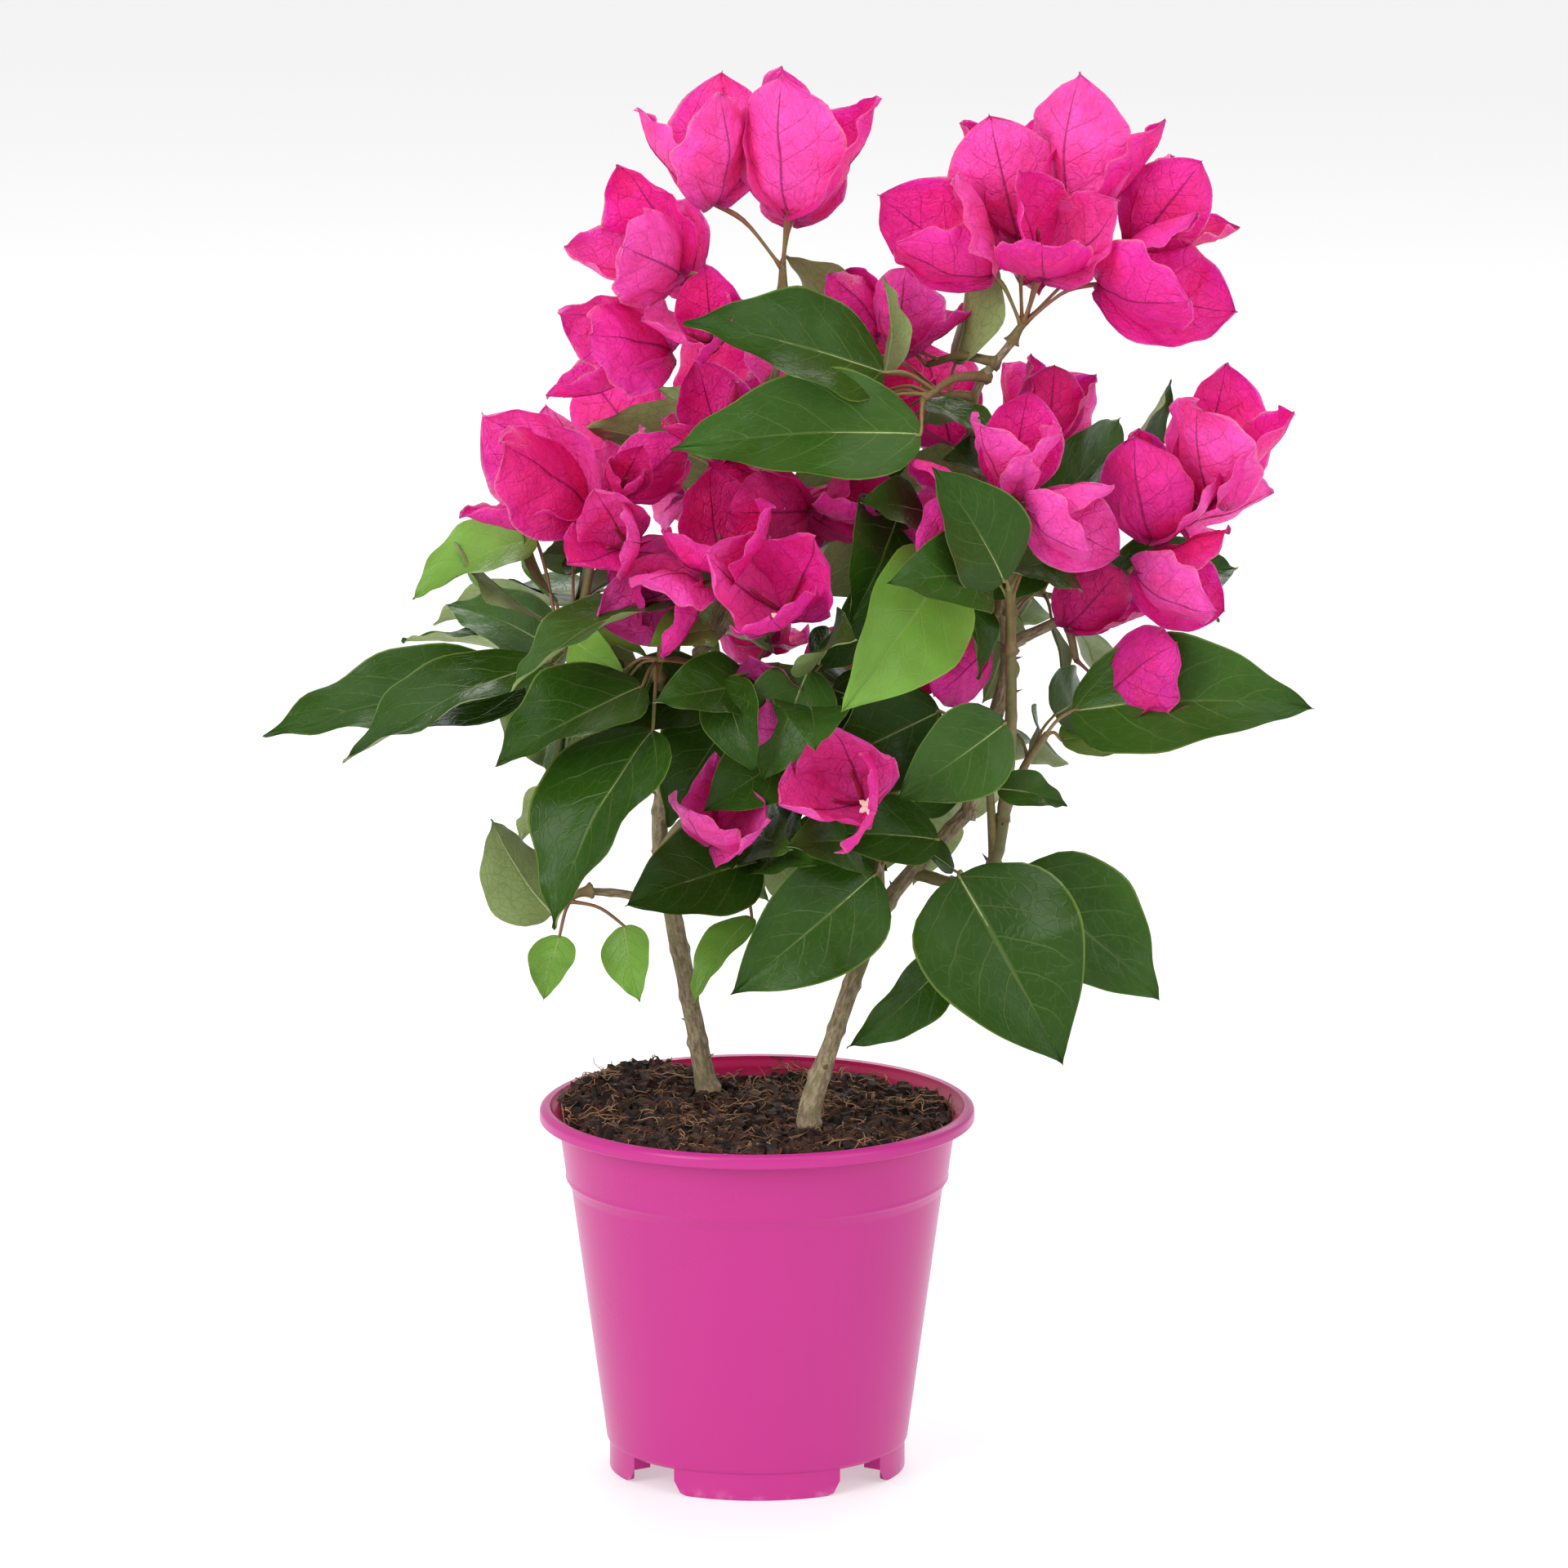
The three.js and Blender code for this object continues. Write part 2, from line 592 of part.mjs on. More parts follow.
// The limb's solid, or with grow the same limb that much fatter and longer, to cut others by.
function limbSolid(limb, grow = 0) {
  const { centres, radii } = limbLine(limb);
  const last = centres.length - 1;
  const places = centres.map((c) => c.clone());
  if (grow) places[last].add(centres[last].clone().sub(centres[last - 1]).setLength(grow));
  const sides = limb.foot ? STEM_SIDES : BOUGH_SIDES;
  return tube(places, radii.map((r) => r + grow), sides, limb.foot);
}

// ---------- Blades: leaves and bracts ----------

function outline(kind, t) {
  const { round, point } = BLADES[kind];
  const widest = round / (round + point);
  const at = (s) => s ** round * (1 - s) ** point;
  return at(Math.min(Math.max(t, 0), 1)) / at(widest);
}

// A blade from its root along aim, its upper face towards facing. chance gives bend and fold.
function blade(kind, root, aim, facing, length, width, roll, chance) {
  const shape = BLADES[kind];
  const up = square(facing, aim);
  const side = aim.clone().cross(up);
  up.multiplyScalar(Math.cos(roll * DEG)).addScaledVector(side, Math.sin(roll * DEG));
  let bend = chance(...shape.bend) * DEG;
  if (Math.abs(bend) < LEAST_BEND) bend = LEAST_BEND;
  const half = bend / 2;
  const start = aim.clone().multiplyScalar(Math.cos(half)).addScaledVector(up, Math.sin(half));
  const top = up.clone().multiplyScalar(Math.cos(half)).addScaledVector(aim, -Math.sin(half));
  return {
    kind, root, start, top, across: start.clone().cross(top),
    length: (length * half) / Math.sin(half), width, bend,
    fold: chance(...shape.fold) * DEG, phase: chance(0, 2 * Math.PI),
  };
}

// Height of the blade's surface over its midrib at share t along it and v across it.
function lift(b, t, v) {
  const shape = BLADES[b.kind];
  const half = (b.width / 2) * outline(b.kind, t);
  const wave = Math.sin(2 * Math.PI * shape.waves * t + b.phase + 2 * v);
  const curl = Math.abs(v) * Math.sin(b.fold) + (1 - Math.cos(shape.cup * v)) / shape.cup;
  return Math.min(1, t / FLAT_ROOT) * (half * curl + shape.ripple * b.length * wave * v * v);
}

// A point on the blade, or that far off its surface.
function onBlade(b, t, v, off = 0) {
  const turn = b.bend * t;
  const arm = b.length / b.bend;
  const half = (b.width / 2) * outline(b.kind, t);
  const height = lift(b, t, v) + off;
  const { cup } = BLADES[b.kind];
  return b.root
    .clone()
    .addScaledVector(b.start, arm * Math.sin(turn) + height * Math.sin(turn))
    .addScaledVector(b.top, height * Math.cos(turn) - arm * (1 - Math.cos(turn)))
    .addScaledVector(b.across, (half * Math.cos(b.fold) * Math.sin(cup * v)) / cup);
}

// Whether a point lies within gap of the blade, past its root.
function meets(b, point, gap) {
  const from = point.clone().sub(b.root);
  const across = from.dot(b.across);
  const arm = b.length / b.bend;
  const ahead = from.dot(b.start);
  const above = from.dot(b.top) + arm;
  const bowed = arm < 0 ? -1 : 1;
  const t = Math.atan2(ahead * bowed, above * bowed) / b.bend;
  if (t < ROOT_FREE || t > 1 + gap / b.length) return false;
  const { cup } = BLADES[b.kind];
  const rim = Math.sin(cup);
  const half = ((b.width / 2) * outline(b.kind, t) * Math.cos(b.fold)) / cup;
  if (Math.abs(across) > half * rim + gap) return false;
  const v = half > 0 ? Math.asin(THREE.MathUtils.clamp(across / half, -rim, rim)) / cup : 0;
  return Math.abs(bowed * Math.hypot(ahead, above) - arm - lift(b, t, v)) < gap;
}

// Where a blade is tested against others: shares of its length, and of its half width.
const SAMPLE_T = [0.15, 0.3, 0.45, 0.6, 0.75, 0.9, 1];
const SAMPLE_V = [-0.95, -0.5, 0, 0.5, 0.95];
const NEAR_ROOT = 2 * SAMPLE_V.length; // samples that may touch the blade's own mass
const samplesOf = (b) => SAMPLE_T.flatMap((t) => SAMPLE_V.map((v) => onBlade(b, t, v)));

// The rings of a blade's solid from its first row to its tip: a lens folded along the midrib.
function bladeRings(b) {
  const { thickness, rows, solid } = BLADES[b.kind];
  const thick = (thickness * b.length) / 2;
  const corners = [[-solid, 0], [0, thick], [solid, 0], [0, -thick]];
  const lens = (t) => corners.map(([v, off]) => onBlade(b, t, v, off));
  return [...rows.map(lens), [onBlade(b, 1, 0)]];
}

// The same blade as a thicker slab that holds the lens with room all round, to cut others by.
function bladeCutter(b) {
  const { thickness, rows, solid } = BLADES[b.kind];
  const thick = (thickness * b.length) / 2 + 3 * GAP;
  const wide = solid + (4 * GAP) / b.width;
  const edge = 0.8; // share of the thickness at the slab's edges
  const corners = [[-1, edge], [0, 1], [1, edge], [1, -edge], [0, -1], [-1, -edge]];
  const slab = (t) => corners.map(([v, share]) => onBlade(b, t, v * wide, share * thick));
  const root = corners.map(([v, share]) =>
    b.root.clone().addScaledVector(b.across, v * TWIG_GIRTH).addScaledVector(b.top, share * TWIG_GIRTH),
  );
  return loft([root, ...rows.map(slab), [onBlade(b, 1 + (2 * GAP) / b.length, 0)]]);
}

// A blade on its own, its root a point inside the foot that it grows from.
const bladeSolid = (b) => loft([[onBlade(b, 0, 0)], ...bladeRings(b)]);

// A blade and its twig in one skin: square rings along the twig turn into the blade's lens.
function stalkedSolid(b, twig) {
  const rings = twig.map((centre, i) => {
    const ahead = twig[i + 1] ?? onBlade(b, BLADES[b.kind].rows[0], 0);
    const axis = ahead.clone().sub(centre).normalize();
    const across = square(b.across, axis);
    const up = across.clone().cross(axis);
    const radius = (i === 0 ? TWIG_ROOT : TWIG_GIRTH) / 2;
    const corners = [[across, -radius], [up, radius], [across, radius], [up, -radius]];
    return corners.map(([way, far]) => centre.clone().addScaledVector(way, far));
  });
  return loft([...rings, ...bladeRings(b)]);
}

// ---------- Masses ----------

const placed = []; // blades in place, with the mass they belong to
const rods = []; // stretches of limbs, mass stems and twigs: ends, radius and mass

function addRods(centres, radius, mass) {
  for (let i = 1; i < centres.length; i++)
    rods.push({ a: centres[i - 1], b: centres[i], radius, mass });
}

function rodDistance(rod, point) {
  const axis = rod.b.clone().sub(rod.a);
  const t = Math.min(Math.max(point.clone().sub(rod.a).dot(axis) / axis.lengthSq(), 0), 1);
  return rod.a.clone().addScaledVector(axis, t).distanceTo(point);
}

const centreOf = (b) => onBlade(b, 0.5, 0);

// How many of a blade's sample points lie too near to what is in place already.
function conflicts(b, mass) {
  const centre = centreOf(b);
  const points = samplesOf(b);
  let count = 0;
  const tested = (other) => points.slice(other.mass === mass ? NEAR_ROOT : 0);
  for (const other of placed) {
    if (other.centre.distanceTo(centre) > (other.blade.length + b.length) / 2 + CLEARANCE) continue;
    for (const point of tested(other)) if (meets(other.blade, point, CLEARANCE)) count++;
  }
  for (const rod of rods) {
    if (rod.a.distanceTo(centre) > b.length + ROD_REACH) continue;
    for (const point of tested(rod))
      if (rodDistance(rod, point) < rod.radius + CLEARANCE / 2) count++;
  }
  return count;
}

// How many points of a twig lie too near to a blade that another mass holds.
function twigConflicts(centres, mass) {
  let count = 0;
  for (const other of placed) {
    if (other.mass === mass) continue;
    for (const point of centres) if (meets(other.blade, point, CLEARANCE)) count++;
  }
  return count;
}

const outward = (place) => vec([place.x - CROWN_AXIS[0], place.y - CROWN_AXIS[1], 0]).normalize();

function leafBlades(place, turn, rise, length, width, roll, chance) {
  const [outwards, upwards] = LEAF_FACING;
  const facing = outward(place).multiplyScalar(outwards).add(vec([0, 0, upwards]));
  return [blade("leaf", place, heading(turn, rise), facing, length, width, roll, chance)];
}

function headBlades(place, turn, rise, size, chance) {
  const axis = heading(turn, rise);
  const first = square(outward(place).add(vec([0, 0, -HEAD_NOD])), axis);
  const side = axis.clone().cross(first);
  const spin = chance(-HEAD_SPIN, HEAD_SPIN);
  return Array.from({ length: BRACTS_IN_HEAD }, (_, k) => {
    const around = (spin + (360 * k) / BRACTS_IN_HEAD) * DEG;
    const open = chance(...HEAD_OPEN) * DEG;
    const out = first.clone().multiplyScalar(Math.cos(around)).addScaledVector(side, Math.sin(around));
    const aim = axis.clone().multiplyScalar(Math.cos(open)).addScaledVector(out, Math.sin(open));
    const inner = axis.clone().multiplyScalar(Math.sin(open)).addScaledVector(out, -Math.cos(open));
    const length = size * chance(...BRACT_LENGTH);
    const roll = chance(...BRACT_ROLL);
    return blade("bract", place, aim, inner, length, length * BRACT_WIDTH, roll, chance);
  });
}

// The small turns that an organ may take to come clear of its neighbours.
const NUDGES = [
  [0, 0], [8, 0], [-8, 0], [0, 8], [0, -8], [14, 8], [-14, 8], [14, -8], [-14, -8],
  [24, 0], [-24, 0], [0, 18], [0, -18],
];

// A twig from the mass's stem to an organ's foot, ending inside its first blade.
function twigLine(mass, share, blades) {
  const from = along(mass.stem, share);
  const foot = blades[0].root;
  const bow = from.distanceTo(foot) * TWIG_BOW;
  const middle = from.clone().lerp(foot, TWIG_MIDDLE).add(vec([0, 0, bow]));
  return [from, middle, foot];
}

// Puts an organ in place: the first clear nudge, or the best one where it has to be kept.
function settle(mass, share, make, must) {
  let best = null;
  for (const [turn, rise] of NUDGES) {
    const blades = make(turn, rise);
    const twig = twigLine(mass, share, blades);
    const ofBlades = blades.reduce((sum, b) => sum + conflicts(b, mass), 0);
    const count = ofBlades + twigConflicts(twig, mass);
    if (!best || count < best.count) best = { count, blades, twig };
    if (count === 0) break;
  }
  if (best.count > 0 && !must) return false;
  for (const b of best.blades) placed.push({ blade: b, centre: centreOf(b), mass });
  addRods(best.twig, TWIG_GIRTH / 2, mass);
  mass.organs.push({ blades: best.blades, twig: best.twig });
  return true;
}

// The numbers of a fixed stretch of chance, so that each nudge of an organ keeps its form.
function repeatable(chance) {
  const numbers = Array.from({ length: NUMBERS_OF_ORGAN }, () => chance(0, 1));
  return () => {
    let i = 0;
    return (low, high) => low + (high - low) * numbers[i++];
  };
}

function insideWild(b) {
  return samplesOf(b).every((p) => {
    const seen = p.z + WILD.lean * p.y;
    const wide = (p.x - WILD.middle[0]) / WILD.spread[0];
    const high = (seen - WILD.middle[1]) / WILD.spread[1];
    return wide * wide + high * high < 1 && Math.abs(p.y) < WILD.depth;
  });
}

// Leaves that the seeded rule adds round the way out of the crown.
function growWild(mass, number, total) {
  const [outTurn, outRise] = mass.out;
  for (let attempt = 0; attempt < WILD.tries; attempt++) {
    const spread = WILD.fan * Math.sqrt((number + 0.5) / total);
    const around = (WILD.golden * number + mass.chance(-WILD.stray, WILD.stray)) * DEG;
    const turn = outTurn + spread * Math.cos(around);
    const steep = outRise + WILD.flatter * spread * Math.sin(around) - WILD.droop;
    const rise = THREE.MathUtils.clamp(steep, -WILD.steepest, WILD.steepest);
    const reach = mass.chance(...WILD.reach);
    const length = mass.chance(...WILD.length);
    const form = repeatable(mass.chance);
    const place = vec(mass.heart).addScaledVector(heading(turn, rise + WILD.droop), reach);
    const make = (moreTurn, moreRise) =>
      leafBlades(place, turn + moreTurn, rise + moreRise, length, length * LEAF_WIDTH, 0, form());
    const share = THREE.MathUtils.lerp(...WILD_SHARES, (number + 1) / total);
    if (insideWild(make(0, 0)[0]) && settle(mass, share, make, false)) return;
  }
}

function startMasses() {
  for (const limb of Object.values(LIMBS)) {
    const { centres, radii } = limbLine(limb);
    addRods(centres, Math.max(...radii), limb);
  }
  Object.values(MASSES).forEach((mass, i) => {
    const limb = LIMBS[mass.limb];
    const from = along(limb.path, mass.share);
    const heart = vec(mass.heart);
    const bow = from.distanceTo(heart) * MASS_STEM_BOW;
    const middle = from.clone().lerp(heart, 0.5).add(vec([0, 0, bow]));
    mass.chance = seeded(i + 1);
    mass.organs = [];
    mass.stem = [from, middle, heart].map((p) => p.toArray());
    addRods([0, 0.25, 0.5, 0.75, 1].map((s) => along(mass.stem, s)), MASS_STEM_GIRTH / 2, mass);
  });
}

function growMasses() {
  startMasses();
  for (const mass of Object.values(MASSES)) {
    const rows = mass.leaves ?? mass.heads;
    rows.forEach((row, i) => {
      const form = repeatable(mass.chance);
      const place = vec(row.slice(0, 3));
      const [turn, rise, ...sizes] = row.slice(3);
      const organ = mass.leaves ? leafBlades : headBlades;
      const make = (moreTurn, moreRise) =>
        organ(place, turn + moreTurn, rise + moreRise, ...sizes, form());
      settle(mass, THREE.MathUtils.lerp(...ROW_SHARES, (i + 1) / rows.length), make, true);
    });
  }
  for (const mass of Object.values(MASSES))
    for (let number = 0; number < (mass.wild ?? 0); number++) growWild(mass, number, mass.wild);
}

function massStem(mass, grow) {
  const shares = [0, 0.5, 1];
  const girth = (s) => THREE.MathUtils.lerp(MASS_STEM_GIRTH, MASS_STEM_TIP, s);
  const radii = shares.map((s) => girth(s) / 2 + grow);
  return tube(shares.map((s) => along(mass.stem, s)), radii, MASS_STEM_SIDES);
}

// The mass as one fused solid.
function massSolid(mass) {
  let body = massStem(mass, 0);
  for (const { blades, twig } of mass.organs) {
    const [first, ...others] = blades;
    body = body.add(stalkedSolid(first, [twig[0], twig.at(-1)]));
    for (const b of others) body = body.add(bladeSolid(b));
  }
  return body;
}

// The mass a little fatter, as loose pieces to cut its neighbours by.
function massCutters(mass) {
  const radii = Array(3).fill(TWIG_GIRTH / 2 + 2 * GAP);
  const organCutters = ({ blades, twig }) => {
    const line = [twig[0], twig.at(-1), onBlade(blades[0], SAMPLE_T[0], 0)];
    return [tube(line, radii, 2 * MASS_STEM_SIDES), ...blades.map(bladeCutter)];
  };
  return [massStem(mass, 2 * GAP), ...mass.organs.flatMap(organCutters)];
}

// ---------- The assembly ----------

function meshOf(name, solid, [colour, roughness]) {
  const { vertProperties, triVerts } = solid.getMesh();
  const geometry = new THREE.BufferGeometry();
  geometry.setAttribute("position", new THREE.BufferAttribute(vertProperties, 3));
  geometry.setIndex(new THREE.BufferAttribute(triVerts, 1));
  const material = new THREE.MeshStandardMaterial({
    color: colour, roughness, metalness: 0, flatShading: true,
  });
  const mesh = new THREE.Mesh(geometry, material);
  mesh.name = name;
  return mesh;
}

function build() {
  const plant = new THREE.Group();
  plant.add(meshOf("pot", potSolid(), COLOURS.pot));
  plant.add(meshOf("soil", soilSolid(), COLOURS.soil));

  const cutters = [];
  for (const [name, limb] of Object.entries(LIMBS)) {
    let solid = limbSolid(limb);
    for (const cutter of cutters) solid = solid.subtract(cutter);
    plant.add(meshOf(name, largest(solid), name === "right_shoot" ? COLOURS.shoot : COLOURS.stem));
    cutters.push(limbSolid(limb, GAP));
  }

  growMasses();
  for (const [name, mass] of Object.entries(MASSES)) {
    let solid = massSolid(mass);
    for (const cutter of cutters) solid = solid.subtract(cutter);
    const kind = name.split("_")[0];
    plant.add(meshOf(name, largest(solid), COLOURS[kind]));
    cutters.push(...massCutters(mass));
  }

  const box = new THREE.Box3().setFromObject(plant);
  const middle = box.getCenter(new THREE.Vector3());
  plant.position.set(-middle.x, -middle.y, -box.min.z);
  return plant;
}

export default build();
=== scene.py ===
"""Potted bougainvillea: the looks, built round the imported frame.

A rosy nursery pot on four feet, a bed of peat, two woody stems with their boughs, and masses of
leaves and of flower heads with three bracts each. Leaves and heads grow by the same seeded rule
as the solids they stand for, and take finer blades, petioles, florets and shoots from it.
Lengths in the tables are millimetres from the middle of the pot's foot; the meshes are in metres.
"""

import math
from dataclasses import dataclass

import bmesh
import bpy
import numpy as np
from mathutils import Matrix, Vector, noise


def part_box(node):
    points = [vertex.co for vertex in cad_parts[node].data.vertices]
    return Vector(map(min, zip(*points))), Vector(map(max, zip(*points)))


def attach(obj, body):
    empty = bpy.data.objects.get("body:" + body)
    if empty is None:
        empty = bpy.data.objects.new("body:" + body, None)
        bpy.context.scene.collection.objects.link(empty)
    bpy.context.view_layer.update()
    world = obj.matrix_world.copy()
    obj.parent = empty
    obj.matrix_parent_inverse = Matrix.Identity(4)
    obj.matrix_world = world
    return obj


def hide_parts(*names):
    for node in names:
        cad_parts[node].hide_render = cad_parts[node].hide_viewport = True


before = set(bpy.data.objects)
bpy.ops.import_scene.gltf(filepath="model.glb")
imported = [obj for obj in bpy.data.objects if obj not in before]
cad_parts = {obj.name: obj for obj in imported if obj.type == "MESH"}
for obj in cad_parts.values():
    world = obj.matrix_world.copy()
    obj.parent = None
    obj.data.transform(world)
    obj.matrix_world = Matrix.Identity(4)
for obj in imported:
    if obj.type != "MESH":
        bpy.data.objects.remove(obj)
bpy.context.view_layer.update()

bl_info = {
    "name": "Potted Bougainvillea",
    "version": (1, 0, 0),
    "blender": (4, 5, 0),
    "location": "View3D > Sidebar > Bougainvillea",
    "description": "Dresses the pot, peat, stems, leaves and bracts of a flowering bush",
    "category": "Object",
}

MM = 0.001
DEG = math.pi / 180
POT_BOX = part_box("pot")
SOIL_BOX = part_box("soil")
POT_AXIS = (POT_BOX[0] + POT_BOX[1]) / 2
AXIS_FOOT = np.array([POT_AXIS.x, POT_AXIS.y, POT_BOX[0].z])

# ---------- The plant's tables, as in the solids ----------

STEM_GIRTH_AT_MASS = 3.4
TWIG_GIRTH = 1.5
CROWN_AXIS = (15, 0)  # the upright line that the crown spreads from

# round and point are the exponents of the outline towards the root and the tip. The seeded rule
# gives bend and fold, in degrees, and cup is how far, in radians, the halves curl up.
BLADES = {
    "leaf": {
        "round": 0.52, "point": 1.0, "bend": (16, 42), "fold": (4, 14), "cup": 0.45,
        "ripple": 0.014, "waves": 2,
    },
    "bract": {
        "round": 0.5, "point": 0.6, "bend": (-64, -16), "fold": (0, 8), "cup": 0.8,
        "ripple": 0.022, "waves": 2.5,
    },
}
FLAT_ROOT = 0.5  # share of a blade over which it goes from flat to fully curled
BRACTS_IN_HEAD = 3
BRACT_WIDTH = 0.94  # of its length
HEAD_OPEN = (20, 38)  # degrees between a bract and the head's axis
BRACT_ROLL = (7, 20)  # degrees, so that each bract has one edge inside its neighbour
LEAF_WIDTH = 0.66  # of its length, for leaves that the seeded rule adds
LEAF_FACING = (0.85, 0.5)  # how far a leaf's upper side turns outwards and upwards
BRACT_LENGTH = (0.9, 1.06)  # of the head's size
HEAD_SPIN = 28  # degrees, about its axis
HEAD_NOD = 0.2  # how far the first bract's side of a head looks down
LEAST_BEND = 0.05  # radians
CLEARANCE = 2.6  # between the middle surfaces of blades of different twigs
ROOT_FREE = 0.04  # share of a blade at its root that nothing can conflict with
ROD_REACH = 25  # how much farther than a blade's length a stretch of limb can matter

# What the seeded rule may do. A leaf stays inside an ellipse seen from the front, lowered as it
# goes back because the crown leans away, and inside a depth. Leaves fan out from the mass's way
# out by the golden angle, flatter upwards than sideways, and droop.
WILD = {
    "middle": (18, 335), "spread": (128, 112), "lean": 0.27, "depth": 113, "tries": 7,
    "fan": 78, "golden": 137.5, "stray": 25, "flatter": 0.7, "steepest": 60, "droop": 12,
    "reach": (16, 30), "length": (46, 72),
}

# Limbs: their middle lines from foot to tip, and their girths (diameters) along them.
LIMBS = {
    "front_stem": {
        "path": [
            (20, -34, 140.3), (21, -33, 152.5), (30, -27, 179), (39, -16, 202.5), (52, 3, 227),
            (84, 5, 263),
        ],
        "girth": (8.4, 9.2, 6.9, 6.5, 6.2, 5.6), "foot": True,
    },
    "left_stem": {
        "path": [
            (-19, 23, 140.3), (-24, 23, 169), (-32, 22, 211), (-38, 20, 250), (-30, 12, 300),
            (-12, 5, 348),
        ],
        "girth": (9.2, 7.2, 7, 6.4, 5.8, 5), "foot": True,
    },
    "right_bough": {
        "path": [(82, 5, 260), (97, 12, 320), (88, 12, 385), (84, 5, 424), (99, 0, 449)],
        "girth": (5.4, 4.9, 4.2, 3.6, 3.2),
    },
    "right_shoot": {
        "path": [(62, 5, 236), (83, -5, 234), (93, -13, 248), (98, -24, 295), (98, -30, 348)],
        "girth": (4.6, 5, 5.4, 4.8, 4),
    },
    "centre_bough": {
        "path": [(-13, 5, 345), (-2, 8, 390), (8, 3, 440), (10, 0, 468)],
        "girth": (4.9, 4.2, 3.4, 2.8),
    },
    "left_bough": {
        "path": [(-36, 17, 264), (-54, 4, 305), (-68, -8, 342)],
        "girth": (4.6, 4.2, 3.6),
    },
    "left_front_bough": {
        "path": [(-32, 13, 292), (-36, -10, 308), (-38, -26, 322)],
        "girth": (4.2, 3.8, 3.4),
    },
    "front_bough": {
        "path": [(-22, 8, 324), (-14, -10, 336), (-9, -26, 346)],
        "girth": (4.2, 3.8, 3.4),
    },
    "middle_bough": {
        "path": [(66, 4, 244), (54, -6, 274), (36, -20, 300)],
        "girth": (4.4, 4, 3.4),
    },
    "low_left_bough": {
        "path": [(-33, 22, 217), (-50, 20, 224), (-66, 14, 227)],
        "girth": (3.8, 3.4, 3),
    },
    "far_right_bough": {
        "path": [(98, 12, 326), (126, 4, 342), (150, -4, 362)],
        "girth": (4.2, 3.8, 3.2),
    },
    "back_bough": {
        "path": [(-37, 19, 256), (-34, 44, 306), (-24, 58, 352)],
        "girth": (4.6, 4.2, 3.6),
    },
    "right_back_bough": {
        "path": [(93, 10, 300), (98, 36, 326), (86, 54, 366)],
        "girth": (4.4, 4, 3.6),
    },
}

